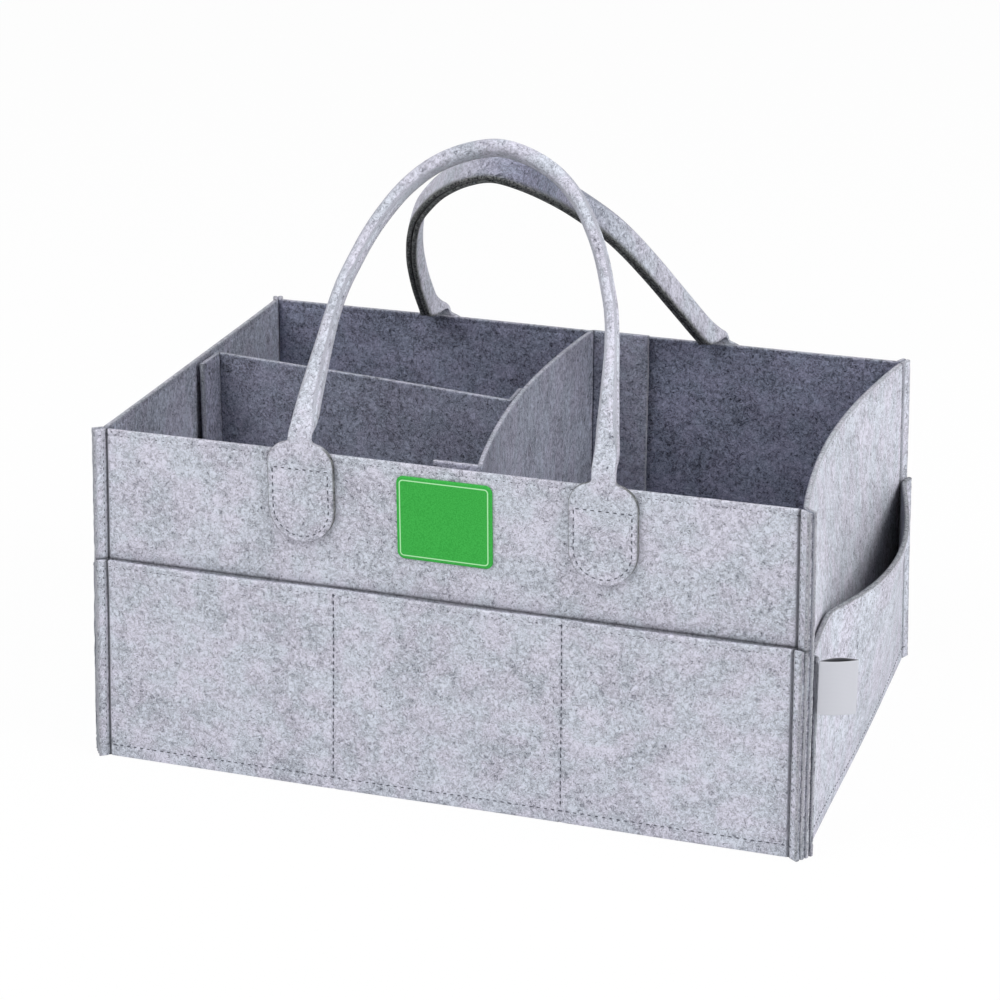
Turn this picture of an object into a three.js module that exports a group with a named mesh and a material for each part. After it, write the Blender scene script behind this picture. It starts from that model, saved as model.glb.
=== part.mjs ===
import * as THREE from 'three';

// A felt diaper caddy. Millimetres, +Z up, +X to the right and -Y to the front.
// The origin is on the floor, under the middle of the box.

// Box, measured over the outer faces of its four walls.
const box_width = 383;
const box_depth = 254;
const front_height = 187;
const rear_height = 179;
const felt = 2.8;
const fit_gap = 0.3;
const right_wall_front_lean = 3;
const right_wall_rear_lean = 5.5;
const left_wall_front_lean = 7;
const left_wall_rear_lean = 1;
const right_wall_bow = 10.5;
const left_wall_bow = 1;

// Seams: raw margins that stand outside the box.
const seam_margin = 8;
const front_seam_turn_degrees = 35;
const rear_seam_turn_degrees = 66;
const seam_stitch_clearance = 0.8;
const base_seam_height = 7;

// Pocket panels on all four sides.
const long_pocket_height = 115;
const end_pocket_height = 110;
const end_pocket_bulge = 18;
const long_pocket_slack = 1.5;
const pocket_row_shares = [0.345, 0.678];

// Handles: a strip folded lengthwise, with a flat tongue at each foot.
const strap_depth = 15.5;
const strap_width = 7.2;
const strap_raw_width = 5.8;
const neck_width = 11;
const fold_length = 16;
const raw_notch_width = 0.8;
const raw_notch_depth = 3;
const front_foot_spacing = 160;
const front_arch_height = 160;
const front_neck_rise = 8;
const front_lean_degrees = 30.5;
const front_handle_offset = 7.2;
const front_flare_length = 75;
const front_raw_edge_turn = 0.25;
const rear_foot_spacing = 167;
const rear_arch_height = 171.5;
const rear_neck_rise = 3;
const rear_lean_degrees = 42.4;
const rear_handle_offset = -4.5;
const rear_handle_sway = 9;
const rear_flare_length = 20;
const rear_raw_edge_turn = 0.04;

const tongue_width = 36;
const tongue_body_length = 53.5;
const tongue_shoulder_radius = 12;
const tongue_stitch_inset = 3;
const tongue_stitch_drop = 14;
const front_left_neck_length = 0.8;
const front_right_neck_length = 3.8;
const rear_neck_length = 0.6;

// Loose dividers, held by hook strips on their folded end flaps.
const divider_fold_radius = 3;
const hook_strip_thickness = 1.2;
const hook_strip_width = 18;
const hook_strip_drop = 12;
const hook_strip_height = 120;
const cross_divider_rise = 2;
const cross_divider_front_place = 21;
const cross_divider_rear_place = 7;
const cross_divider_bow = 9.5;
const cross_front_flap = 25;
const cross_rear_flap = 34;
const long_divider_left_place = 19.5;
const long_divider_right_place = -8;
const long_divider_drop = 1;
const long_left_flap = 24;
const long_right_flap = 22;

// Patch and folded ribbon label.
const patch_width = 51;
const patch_height = 45;
const patch_thickness = 1.4;
const patch_radius = 4;
const patch_place = 4;
const patch_drop = 6;
const label_width = 17.5;
const label_height = 29;
const label_thickness = 1;
const label_top = 107;
const label_turn_degrees = 18;

// Sewing thread.
const thread_width = 0.9;
const thread_thickness = 0.4;
const stitch_inset = 1.2;

const felt_look = { color: 0xb9bac3, roughness: 0.95, metalness: 0 };
const lining_look = { color: 0xa9abb6, roughness: 0.95, metalness: 0 };
const thread_look = { color: 0x55575f, roughness: 0.8, metalness: 0 };
const patch_look = { color: 0x239a3b, roughness: 0.85, metalness: 0 };
const label_look = { color: 0xf2f2f4, roughness: 0.7, metalness: 0 };
const hook_look = { color: 0x8f9199, roughness: 0.9, metalness: 0 };

const caddy = new THREE.Group();

// Sizes worked out from the ones above.
const front_seam_turn = THREE.MathUtils.degToRad(front_seam_turn_degrees);
const rear_seam_turn = THREE.MathUtils.degToRad(rear_seam_turn_degrees);
const square_turn = Math.PI / 2;
const half_gap = fit_gap / 2;
const half_depth = box_depth / 2 - felt - half_gap;
const wall_in = half_gap;
const wall_out = half_gap + felt;
const pocket_in = wall_out + fit_gap;
const pocket_out = pocket_in + felt;

// Distance from the middle to the inside of the right (1) or left (-1) end wall,
// at a share of the depth from the front corner (0) to the rear one (1).
function half_width(z, end, depth_share) {
  const front_lean = end > 0 ? right_wall_front_lean : left_wall_front_lean;
  const rear_lean = end > 0 ? right_wall_rear_lean : left_wall_rear_lean;
  const lean = THREE.MathUtils.lerp(front_lean, rear_lean, depth_share);
  return box_width / 2 - felt - half_gap - lean * (z / front_height);
}

// Height of the rim at a place along the depth, from the front corner (0) to the rear one (1).
function rim_height(depth_share) {
  return THREE.MathUtils.lerp(front_height, rear_height, depth_share);
}

// Closed mesh between two grids of points. Each grid is rows of columns.
function add_slab(parent, name, look, inner, outer) {
  const rows = inner.length;
  const cols = inner[0].length;
  const points = [];
  for (const grid of [inner, outer]) {
    for (const row of grid) points.push(...row);
  }
  const at = (layer, row, col) => (layer * rows + row) * cols + col;
  const faces = [];
  const quad = (a, b, c, d) => faces.push([a, b, c], [a, c, d]);
  for (let row = 0; row < rows - 1; row += 1) {
    for (let col = 0; col < cols - 1; col += 1) {
      quad(at(1, row, col), at(1, row, col + 1), at(1, row + 1, col + 1), at(1, row + 1, col));
      quad(at(0, row, col), at(0, row + 1, col), at(0, row + 1, col + 1), at(0, row, col + 1));
    }
  }
  for (let col = 0; col < cols - 1; col += 1) {
    const last = rows - 1;
    quad(at(0, 0, col), at(0, 0, col + 1), at(1, 0, col + 1), at(1, 0, col));
    quad(at(0, last, col), at(1, last, col), at(1, last, col + 1), at(0, last, col + 1));
  }
  for (let row = 0; row < rows - 1; row += 1) {
    const last = cols - 1;
    quad(at(0, row, 0), at(1, row, 0), at(1, row + 1, 0), at(0, row + 1, 0));
    quad(at(0, row, last), at(0, row + 1, last), at(1, row + 1, last), at(1, row, last));
  }
  return add_mesh(parent, name, look, points, faces);
}

// Closed mesh from rings of points that follow each other, with flat caps or joined end to end.
function add_rings(parent, name, look, rings, closed, cap_section) {
  const count = rings[0].length;
  const points = rings.flat();
  const faces = [];
  const spans = closed ? rings.length : rings.length - 1;
  for (let i = 0; i < spans; i += 1) {
    const here = i * count;
    const next = ((i + 1) % rings.length) * count;
    for (let k = 0; k < count; k += 1) {
      const k2 = (k + 1) % count;
      faces.push([here + k, here + k2, next + k2], [here + k, next + k2, next + k]);
    }
  }
  if (!closed) {
    const cap = THREE.ShapeUtils.triangulateShape(cap_section, []);
    const last = (rings.length - 1) * count;
    for (const [a, b, c] of cap) {
      faces.push([c, b, a], [last + a, last + b, last + c]);
    }
  }
  return add_mesh(parent, name, look, points, faces);
}

function signed_volume(points, faces) {
  let sum = 0;
  const cross = new THREE.Vector3();
  for (const [a, b, c] of faces) sum += points[a].dot(cross.crossVectors(points[b], points[c]));
  return sum / 6;
}

function add_mesh(parent, name, look, points, faces) {
  const inside_out = signed_volume(points, faces) < 0;
  const index = faces.flatMap(([a, b, c]) => (inside_out ? [a, c, b] : [a, b, c]));
  const geometry = new THREE.BufferGeometry();
  const positions = points.flatMap((p) => [p.x, p.y, p.z]);
  geometry.setAttribute('position', new THREE.Float32BufferAttribute(positions, 3));
  geometry.setIndex(index);
  geometry.computeVertexNormals();
  return add_geometry(parent, name, look, geometry);
}

function add_geometry(parent, name, look, geometry) {
  const mesh = new THREE.Mesh(geometry, new THREE.MeshStandardMaterial(look));
  mesh.name = name;
  parent.add(mesh);
  return mesh;
}

// The four sides. p runs along a side, q points out of the box from its middle.
// run is half the side's length inside, out is its distance from the middle, and
// turn is the angle between the side and the seam margin at one of its ends (-1 or 1).
const sides = {
  front: {
    run: (z, end) => half_width(z, end, 0),
    out: () => half_depth,
    turn: () => front_seam_turn,
    place: (p, q, z) => new THREE.Vector3(p, -q, z),
    top: () => front_height,
  },
  rear: {
    run: (z, end) => half_width(z, -end, 1),
    out: () => half_depth,
    turn: () => rear_seam_turn,
    place: (p, q, z) => new THREE.Vector3(-p, q, z),
    top: () => rear_height,
  },
  right: {
    run: () => half_depth,
    out: (z, share) => half_width(z, 1, share),
    turn: (end) => square_turn - (end > 0 ? rear_seam_turn : front_seam_turn),
    place: (p, q, z) => new THREE.Vector3(q, p, z),
    top: (share) => rim_height(share),
  },
  left: {
    run: () => half_depth,
    out: (z, share) => half_width(z, -1, 1 - share),
    turn: (end) => square_turn - (end > 0 ? front_seam_turn : rear_seam_turn),
    place: (p, q, z) => new THREE.Vector3(-q, -p, z),
    top: (share) => rim_height(1 - share),
  },
};

// Point on the seam margin at one end (1 or -1) of a side: along is the way out from the
// corner, and offset the distance of the layer from the inside of the box.
function margin_point(side, end, along, offset, z) {
  const turn = side.turn(end);
  const p = side.run(z, end) + along * Math.cos(turn) - offset * Math.sin(turn);
  const q = side.out(z, end > 0 ? 1 : 0) + along * Math.sin(turn) + offset * Math.cos(turn);
  return side.place(end * p, q, z);
}

// Point on the flat stretch of a side, at a share of its length from its first end.
function side_point(side, share, offset, extra, z) {
  const first = offset * Math.tan(side.turn(-1) / 2) - side.run(z, -1);
  const last = side.run(z, 1) - offset * Math.tan(side.turn(1) / 2);
  const p = THREE.MathUtils.lerp(first, last, share);
  return side.place(p, side.out(z, share) + offset + extra, z);
}

// Levels from the floor (0) to the rim (1): one at the base, then evenly spaced ones.
function even_levels(first, count) {
  const levels = [0];
  for (let i = 0; i <= count; i += 1) levels.push(THREE.MathUtils.lerp(first, 1, i / count));
  return levels;
}

// One layer of a panel with its two seam margins, as rows of points.
function panel_layer(side, offset, top, levels, cols, extra) {
  const layer = [];
  for (const level of levels) {
    const points = [];
    points.push(margin_point(side, -1, seam_margin, offset, top(0) * level));
    for (let col = 0; col <= cols; col += 1) {
      const share = col / cols;
      points.push(side_point(side, share, offset, extra(share, level), top(share) * level));
    }
    points.push(margin_point(side, 1, seam_margin, offset, top(1) * level));
    layer.push(points);
  }
  return layer;
}

function add_panel(name, side, offset_in, offset_out, top, levels, cols, extra) {
  const inner = panel_layer(side, offset_in, top, levels, cols, extra);
  const outer = panel_layer(side, offset_out, top, levels, cols, extra);
  return add_slab(caddy, name, felt_look, inner, outer);
}

// Walls

const bow_power = 0.85;
const bow_rise_power = 1.3;

function bow_shape(share) {
  return Math.sin(Math.PI * share) ** bow_power;
}

// An end wall bends in above the base.
const base_top = base_seam_height + felt;
const bow_start = (base_top + fit_gap) / rear_height;

function wall_bow(depth) {
  return (share, level) => {
    const rise = Math.max(0, (level - bow_start) / (1 - bow_start));
    return -depth * bow_shape(share) * rise ** bow_rise_power;
  };
}

const flat = () => 0;
const flat_levels = [0, 1];
const bowed_levels = even_levels(bow_start, 7);
const end_cols = 20;

add_panel('front_wall', sides.front, wall_in, wall_out, sides.front.top, flat_levels, 1, flat);
add_panel('rear_wall', sides.rear, wall_in, wall_out, sides.rear.top, flat_levels, 1, flat);
add_panel('right_wall', sides.right, wall_in, wall_out, sides.right.top, bowed_levels, end_cols,
  wall_bow(right_wall_bow));
add_panel('left_wall', sides.left, wall_in, wall_out, sides.left.top, bowed_levels, end_cols,
  wall_bow(left_wall_bow));

// Pocket panels. The long ones are held flat by their sewn rows, the end ones gape.

const slack_cols = 24;
const gape_levels = even_levels(bow_start, 4);
const gape_start_share = 0.21;
const gape_skew = 0.87;
const gape_peak_share = gape_start_share + (1 - gape_start_share) * (1 / 2) ** (1 / gape_skew);

// Distance that a long pocket panel stands off between its sewn rows.
function pocket_slack(row_shares) {
  const rows = [0, ...row_shares, 1];
  return (share, level) => {
    const next = Math.max(1, rows.findIndex((value) => value >= share));
    const within = (share - rows[next - 1]) / (rows[next] - rows[next - 1]);
    return long_pocket_slack * Math.sin(Math.PI * within) * level;
  };
}

// An end pocket follows its wall near the front and stands off it most a little behind the middle.
// Both end pockets reach equally far out.
function pocket_gape(wall_depth) {
  const wall = wall_bow(wall_depth);
  const wall_level = end_pocket_height / rear_height;
  const gape = end_pocket_bulge - wall(gape_peak_share, wall_level);
  return (share, level) => {
    const within = Math.max(0, (share - gape_start_share) / (1 - gape_start_share));
    const swell = Math.sin(Math.PI * within ** gape_skew);
    return wall(share, level * wall_level) + gape * swell * level;
  };
}

const right_gape = pocket_gape(right_wall_bow);
const left_gape_from_front = pocket_gape(left_wall_bow);
const left_gape = (share, level) => left_gape_from_front(1 - share, level);

const rear_row_shares = pocket_row_shares.map((share) => 1 - share).reverse();
const long_pocket_top = () => long_pocket_height;
const end_pocket_top = () => end_pocket_height;

add_panel('front_pocket', sides.front, pocket_in, pocket_out, long_pocket_top, flat_levels, slack_cols,
  pocket_slack(pocket_row_shares));
add_panel('rear_pocket', sides.rear, pocket_in, pocket_out, long_pocket_top, flat_levels, slack_cols,
  pocket_slack(rear_row_shares));
add_panel('right_pocket', sides.right, pocket_in, pocket_out, end_pocket_top, gape_levels, end_cols,
  right_gape);
add_panel('left_pocket', sides.left, pocket_in, pocket_out, end_pocket_top, gape_levels, end_cols,
  left_gape);

// Base: a flat panel with its margins turned down inside the walls.

function base_ring(inset, z) {
  const y = half_depth - half_gap - inset;
  const x = (end, depth_share) => end * (half_width(z, end, depth_share) - half_gap - inset);
  return [
    new THREE.Vector3(x(1, 1), y, z),
    new THREE.Vector3(x(-1, 1), y, z),
    new THREE.Vector3(x(-1, 0), -y, z),
    new THREE.Vector3(x(1, 0), -y, z),
  ];
}

function add_base() {
  const rings = [base_ring(0, base_top), base_ring(0, 0), base_ring(felt, 0), base_ring(felt, base_seam_height)];
  const square = [
    new THREE.Vector2(1, 1),
    new THREE.Vector2(-1, 1),
    new THREE.Vector2(-1, -1),
    new THREE.Vector2(1, -1),
  ];
  add_rings(caddy, 'base_panel', lining_look, rings, false, square);
}
add_base();

// Thread. A row of stitches is a thin strip that lies on the felt.

// Strip along a path of { point, side, out } stations: side lies across it, out away from the felt.
function add_thread(parent, name, stations, closed) {
  const rings = stations.map(({ point, side, out }) => {
    const low = point.clone().addScaledVector(out, fit_gap);
    const high = point.clone().addScaledVector(out, fit_gap + thread_thickness);
    const half = thread_width / 2;
    return [
      low.clone().addScaledVector(side, -half),
      low.clone().addScaledVector(side, half),
      high.clone().addScaledVector(side, half),
      high.clone().addScaledVector(side, -half),
    ];
  });
  const square = [
    new THREE.Vector2(-1, -1),
    new THREE.Vector2(1, -1),
    new THREE.Vector2(1, 1),
    new THREE.Vector2(-1, 1),
  ];
  return add_rings(parent, name, thread_look, rings, closed, square);
}

// Corner seam on the front or rear face of a margin. It steps out over the pocket panel.
function add_corner_thread(name, side, end) {
  const top = side.top() - stitch_inset;
  const step = long_pocket_height + fit_gap;
  const on_wall = wall_out + fit_gap;
  const on_pocket = pocket_out + fit_gap;
  const profile = [
    [on_pocket, base_seam_height],
    [on_pocket + thread_thickness, base_seam_height],
    [on_pocket + thread_thickness, step + thread_thickness],
    [on_wall + thread_thickness, step + thread_thickness],
    [on_wall + thread_thickness, top],
    [on_wall, top],
    [on_wall, step],
    [on_pocket, step],
  ];
  const bend = (on_pocket + thread_thickness) * Math.tan(side.turn(end) / 2);
  const first = bend + seam_stitch_clearance;
  const rings = [first, first + thread_width].map((along) => (
    profile.map(([offset, z]) => margin_point(side, end, along, offset, z))
  ));
  const section = profile.map(([offset, z]) => new THREE.Vector2(offset, z));
  add_rings(caddy, name, thread_look, rings, false, section);
}

add_corner_thread('front_left_corner_thread', sides.front, -1);
add_corner_thread('front_right_corner_thread', sides.front, 1);
add_corner_thread('rear_right_corner_thread', sides.rear, -1);
add_corner_thread('rear_left_corner_thread', sides.rear, 1);

// Base seam along the foot of each pocket panel, over its flat stretch.
function add_base_thread(name, side, cols, extra, top) {
  const stations = [];
  const z = base_seam_height;
  for (let col = 0; col <= cols; col += 1) {
    const share = col / cols;
    const level = z / top;
    const point = side_point(side, share, pocket_out, extra(share, level), z);
    const out = side_point(side, share, pocket_out + 1, extra(share, level), z).sub(point).normalize();
    stations.push({ point, side: new THREE.Vector3(0, 0, 1), out });
  }
  add_thread(caddy, name, stations, false);
}

add_base_thread('front_base_thread', sides.front, slack_cols, pocket_slack(pocket_row_shares),
  long_pocket_height);
add_base_thread('rear_base_thread', sides.rear, slack_cols, pocket_slack(rear_row_shares),
  long_pocket_height);
add_base_thread('right_base_thread', sides.right, end_cols, right_gape, end_pocket_height);
add_base_thread('left_base_thread', sides.left, end_cols, left_gape, end_pocket_height);

// Upright rows that part the long pockets, from above the base seam to the pocket's edge.
function add_pocket_row(name, side, share) {
  const low = base_seam_height + thread_width / 2 + fit_gap;
  const high = long_pocket_height - stitch_inset;
  const stations = [low, high].map((z) => {
    const point = side_point(side, share, pocket_out, 0, z);
    const across = side_point(side, 1, pocket_out, 0, z).sub(point).normalize();
    const out = side_point(side, share, pocket_out + 1, 0, z).sub(point).normalize();
    return { point, side: across, out };
  });
  add_thread(caddy, name, stations, false);
}

add_pocket_row('front_pocket_left_row', sides.front, pocket_row_shares[0]);
add_pocket_row('front_pocket_right_row', sides.front, pocket_row_shares[1]);
add_pocket_row('rear_pocket_right_row', sides.rear, rear_row_shares[0]);
add_pocket_row('rear_pocket_left_row', sides.rear, rear_row_shares[1]);

// Handles

const half_felt = felt / 2;
const hinge_out = half_depth + wall_out + fit_gap + half_felt;
const neck_top_drop = half_felt + fit_gap;

// Height of a tongue's shoulders and of the middle of its round foot, measured from the hinge.
function tongue_heights(neck_length) {
  const shoulder_top = -neck_top_drop - neck_length;
  return { shoulder_top, foot_centre: shoulder_top - tongue_body_length + tongue_width / 2 };
}

// Tongue outline, with its origin at the hinge: neck, round shoulders, straight sides, round foot.
function tongue_shape(neck_length) {
  const half = tongue_width / 2;
  const neck = neck_width / 2;
  const { shoulder_top, foot_centre } = tongue_heights(neck_length);
  const shoulder = tongue_shoulder_radius;
  const shape = new THREE.Shape();
  shape.moveTo(-neck, -neck_top_drop);
  shape.lineTo(neck, -neck_top_drop);
  shape.lineTo(neck, shoulder_top);
  shape.lineTo(half - shoulder, shoulder_top);
  shape.absarc(half - shoulder, shoulder_top - shoulder, shoulder, Math.PI / 2, 0, true);
  shape.lineTo(half, foot_centre);
  shape.absarc(0, foot_centre, half, 0, -Math.PI, true);
  shape.lineTo(-half, shoulder_top - shoulder);
  shape.absarc(-half + shoulder, shoulder_top - shoulder, shoulder, Math.PI, Math.PI / 2, true);
  shape.lineTo(-neck, shoulder_top);
  return shape;
}

// Sewn row on a tongue: a straight top, then down along the sides and round the foot.
function tongue_row(neck_length) {
  const half = tongue_width / 2 - tongue_stitch_inset;
  const { shoulder_top, foot_centre } = tongue_heights(neck_length);
  const row = new THREE.Path();
  row.moveTo(-half, shoulder_top - tongue_stitch_drop);
  row.lineTo(half, shoulder_top - tongue_stitch_drop);
  row.lineTo(half, foot_centre);
  row.absarc(0, foot_centre, half, 0, -Math.PI, true);
  return row;
}

const outline_steps = 10;

function add_tongue(parent, name, x, neck_length) {
  const shape = new THREE.Shape(tongue_shape(neck_length).getPoints(outline_steps));
  const geometry = new THREE.ExtrudeGeometry(shape, { depth: felt, bevelEnabled: false });
  geometry.rotateX(Math.PI / 2);
  geometry.translate(0, half_felt, 0);
  const mesh = add_geometry(parent, name, felt_look, geometry);
  mesh.position.x = x;
}

function add_tongue_thread(parent, name, x, neck_length) {
  const outline = tongue_row(neck_length).getPoints(outline_steps);
  const unique = outline.filter((p, i) => i === 0 || p.distanceTo(outline[i - 1]) > half_gap);
  if (unique[0].distanceTo(unique[unique.length - 1]) < half_gap) unique.pop();
  const count = unique.length;
  const stations = unique.map((p, i) => {
    const along = unique[(i + 1) % count].clone().sub(unique[(i + count - 1) % count]).normalize();
    return {
      point: new THREE.Vector3(x + p.x, -half_felt, p.y),
      side: new THREE.Vector3(-along.y, 0, along.x),
      out: new THREE.Vector3(0, -1, 0),
    };
  });
  add_thread(parent, name, stations, true);
}

// Centre line of a strap, from foot to foot: half spans and heights as shares.
const front_arch_shares = [
  [1, 0], [0.99, 0.1], [0.973, 0.19], [0.95, 0.3], [0.925, 0.41], [0.888, 0.51], [0.83, 0.6],
  [0.77, 0.68], [0.69, 0.76], [0.57, 0.85], [0.4, 0.93], [0.2, 0.98], [0, 1],
];
const rear_arch_shares = [
  [1, 0], [0.998, 0.06], [0.965, 0.153], [0.93, 0.245], [0.89, 0.337], [0.846, 0.43], [0.795, 0.52],
  [0.733, 0.613], [0.653, 0.705], [0.53, 0.8], [0.38, 0.89], [0.175, 0.969], [0, 1],
];

function arch_curve(shares, span, height, sway) {
  const left = shares.map(([x, h]) => new THREE.Vector3((-x * span) / 2, 0, h * height));
  const right = left.slice(0, -1).reverse().map((p) => new THREE.Vector3(-p.x, 0, p.z));
  const points = [...left, ...right];
  for (const point of points) point.x += sway * (1 - (1 - point.z / height) ** 3);
  return new THREE.CatmullRomCurve3(points, false, 'centripetal');
}

// Section of the folded strip. across lies in the arch's plane and points out of it,
// and depth runs from the fold, at the outside of the handle, to the two raw edges.
const fold_steps = 6;

function strap_section(width, raw_width, depth, fold_radius, notch) {
  const fold_face = -half_felt;
  const section = [[-raw_width / 2, depth]];
  for (let i = 0; i <= fold_steps; i += 1) {
    const angle = (Math.PI * i) / fold_steps;
    section.push([(-width / 2) * Math.cos(angle), fold_face + fold_radius * (1 - Math.sin(angle))]);
  }
  section.push([raw_width / 2, depth]);
  section.push([raw_notch_width / 2, depth]);
  section.push([0, depth - notch]);
  section.push([-raw_notch_width / 2, depth]);
  return section;
}

const strap_steps = 56;
const arc_divisions = 600;
const knuckle_steps = 3;
const knuckle_turn_degrees = 78;

function smooth_share(length, full_length) {
  const t = Math.min(length / full_length, 1);
  return t * t * (3 - 2 * t);
}

// One ring of a strap. It widens towards the necks. Its raw edges turn sideways, away from +X,
// clear of the flat feet.
function strap_ring(curve, share, total, flare_length, raw_edge_turn) {
  const length = Math.min(share, 1 - share) * total;
  const folded = smooth_share(length, fold_length);
  const narrowed = smooth_share(length, flare_length);
  const width = THREE.MathUtils.lerp(neck_width, strap_width, narrowed);
  const raw_width = THREE.MathUtils.lerp(neck_width, strap_raw_width, narrowed);
  const depth = THREE.MathUtils.lerp(half_felt, strap_depth - half_felt, folded);
  const fold_radius = THREE.MathUtils.lerp(felt / 3, strap_width / 2, folded);
  const notch = THREE.MathUtils.lerp(felt / 3, raw_notch_depth, folded);
  const centre = curve.getPointAt(share);
  const upright = new THREE.Vector3(0, 0, share < 1 / 2 ? 1 : -1);
  const tangent = upright.lerp(curve.getTangentAt(share), folded).normalize();
  const inward = new THREE.Vector3(-raw_edge_turn * folded, 1, 0);
  inward.addScaledVector(tangent, -inward.dot(tangent)).normalize();
  const across = new THREE.Vector3().crossVectors(tangent, inward);
  return strap_section(width, raw_width, depth, fold_radius, notch).map(([a, d]) => (
    centre.clone().addScaledVector(across, a).addScaledVector(inward, d)
  ));
}

// The foot ends in a half-round knuckle about the hinge line.
function knuckle_ring(ring, angle) {
  return ring.map((point) => new THREE.Vector3(
    point.x,
    point.y * Math.cos(angle),
    point.z - half_felt * Math.sin(angle),
  ));
}

function add_strap(parent, name, spec) {
  const curve = arch_curve(spec.shares, spec.span, spec.height, spec.sway);
  curve.arcLengthDivisions = arc_divisions;
  const total = curve.getLength();
  const rings = [];
  for (let i = 0; i <= strap_steps; i += 1) {
    rings.push(strap_ring(curve, i / strap_steps, total, spec.flare_length, spec.raw_edge_turn));
  }
  const first = rings[0];
  const last = rings[rings.length - 1];
  for (let k = 1; k <= knuckle_steps; k += 1) {
    const angle = (k / knuckle_steps) * THREE.MathUtils.degToRad(knuckle_turn_degrees);
    rings.unshift(knuckle_ring(first, angle));
    rings.push(knuckle_ring(last, angle));
  }
  const cap = strap_section(neck_width, neck_width, half_felt, felt / 3, felt / 3);
  add_rings(parent, name, felt_look, rings, false, cap.map(([a, d]) => new THREE.Vector2(a, d)));
}

// A handle on one long side. Its frame has the wall in front of it at +Y and the outside at -Y.
function add_handle(prefix, parent, spec) {
  const fixed = new THREE.Group();
  fixed.position.set(0, -hinge_out, spec.hinge_height);
  parent.add(fixed);
  for (const [label, end, neck_length] of spec.ends) {
    const x = spec.offset + end * (spec.span / 2);
    add_tongue(fixed, `${prefix}_handle_${label}_tongue`, x, neck_length);
    add_tongue_thread(fixed, `${prefix}_handle_${label}_tongue_thread`, x, neck_length);
  }
  const swinging = new THREE.Group();
  swinging.position.x = spec.offset;
  swinging.rotation.x = -THREE.MathUtils.degToRad(spec.lean);
  fixed.add(swinging);
  add_strap(swinging, `${prefix}_handle_strap`, spec);
}

add_handle('front', caddy, {
  ends: [['left', -1, front_left_neck_length], ['right', 1, front_right_neck_length]],
  hinge_height: front_height + front_neck_rise,
  offset: front_handle_offset,
  lean: front_lean_degrees,
  shares: front_arch_shares,
  span: front_foot_spacing,
  height: front_arch_height,
  sway: 0,
  flare_length: front_flare_length,
  raw_edge_turn: front_raw_edge_turn,
});

const rear_side = new THREE.Group();
rear_side.rotation.z = Math.PI;
caddy.add(rear_side);
add_handle('rear', rear_side, {
  ends: [['right', -1, rear_neck_length], ['left', 1, rear_neck_length]],
  hinge_height: rear_height + rear_neck_rise,
  offset: -rear_handle_offset,
  lean: rear_lean_degrees,
  shares: rear_arch_shares,
  span: rear_foot_spacing,
  height: rear_arch_height,
  sway: rear_handle_sway,
  flare_length: rear_flare_length,
  raw_edge_turn: -rear_raw_edge_turn,
});

// Dividers. Each is a strip of felt on edge, drawn as its centre line in plan.

// Round the bends of a centre line.
function rounded_line(points, bends, radius) {
  const line = [];
  points.forEach((point, i) => {
    if (!bends.includes(i)) {
      line.push(point);
      return;
    }
    const back = points[i - 1].clone().sub(point).normalize();
    const ahead = points[i + 1].clone().sub(point).normalize();
    const half_angle = back.angleTo(ahead) / 2;
    const cut = radius / Math.tan(half_angle);
    const start = point.clone().addScaledVector(back, cut);
    const end = point.clone().addScaledVector(ahead, cut);
    const middle = back.clone().add(ahead).normalize().multiplyScalar(radius / Math.sin(half_angle)).add(point);
    const steps = 4;
    for (let k = 0; k <= steps; k += 1) {
      const t = k / steps;
      const spoke = start.clone().lerp(end, t).sub(middle).normalize().multiplyScalar(radius);
      line.push(middle.clone().add(spoke));
    }
  });
  return line;
}

// Parallel line at a distance to the left of a plan line.
function parallel_line(points, distance) {
  return points.map((point, i) => {
    const before = points[Math.max(i - 1, 0)];
    const after = points[Math.min(i + 1, points.length - 1)];
    const into = point.clone().sub(before);
    const out = after.clone().sub(point);
    if (into.length() === 0) into.copy(out);
    if (out.length() === 0) out.copy(into);
    into.normalize();
    out.normalize();
    const normal = new THREE.Vector2(-into.y - out.y, into.x + out.x);
    const scale = 2 / normal.lengthSq();
    return point.clone().addScaledVector(normal, distance * scale);
  });
}

// Upright wall of felt or hook tape between two parallel plan lines.
function add_upright(parent, name, look, line, thickness, low, high) {
  const layers = [-thickness / 2, thickness / 2].map((distance) => {
    const plan = parallel_line(line, distance);
    return [low, high].map((level) => plan.map((p, i) => (
      new THREE.Vector3(p.x, p.y, level(line[i]))
    )));
  });
  add_slab(parent, name, look, layers[0], layers[1]);
}

const flap_stand_off = wall_in - fit_gap - hook_strip_thickness - fit_gap - half_felt;
const cross_flap_y = half_depth + flap_stand_off;
const long_flap_share = (long_divider_left_place - long_left_flap + half_depth) / (2 * half_depth);
const long_flap_x = -(half_width(front_height, -1, long_flap_share) + flap_stand_off) + left_wall_bow;
const divider_bottom = base_top + fit_gap;

// Centre line of the cross divider, by its share of the way from front to rear.
function cross_divider_x(y) {
  const share = THREE.MathUtils.clamp((y + cross_flap_y) / (2 * cross_flap_y), 0, 1);
  const straight = THREE.MathUtils.lerp(cross_divider_front_place, cross_divider_rear_place, share);
  return straight - cross_divider_bow * bow_shape(share);
}

const cross_steps = 16;

function cross_divider_line() {
  const points = [new THREE.Vector2(cross_divider_x(-cross_flap_y) - cross_front_flap, -cross_flap_y)];
  for (let i = 0; i <= cross_steps; i += 1) {
    const y = THREE.MathUtils.lerp(-cross_flap_y, cross_flap_y, i / cross_steps);
    points.push(new THREE.Vector2(cross_divider_x(y), y));
  }
  points.push(new THREE.Vector2(cross_divider_x(cross_flap_y) + cross_rear_flap, cross_flap_y));
  return rounded_line(points, [1, cross_steps + 1], divider_fold_radius);
}

function rim_at(y) {
  return rim_height((y + half_depth) / (2 * half_depth));
}

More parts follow.
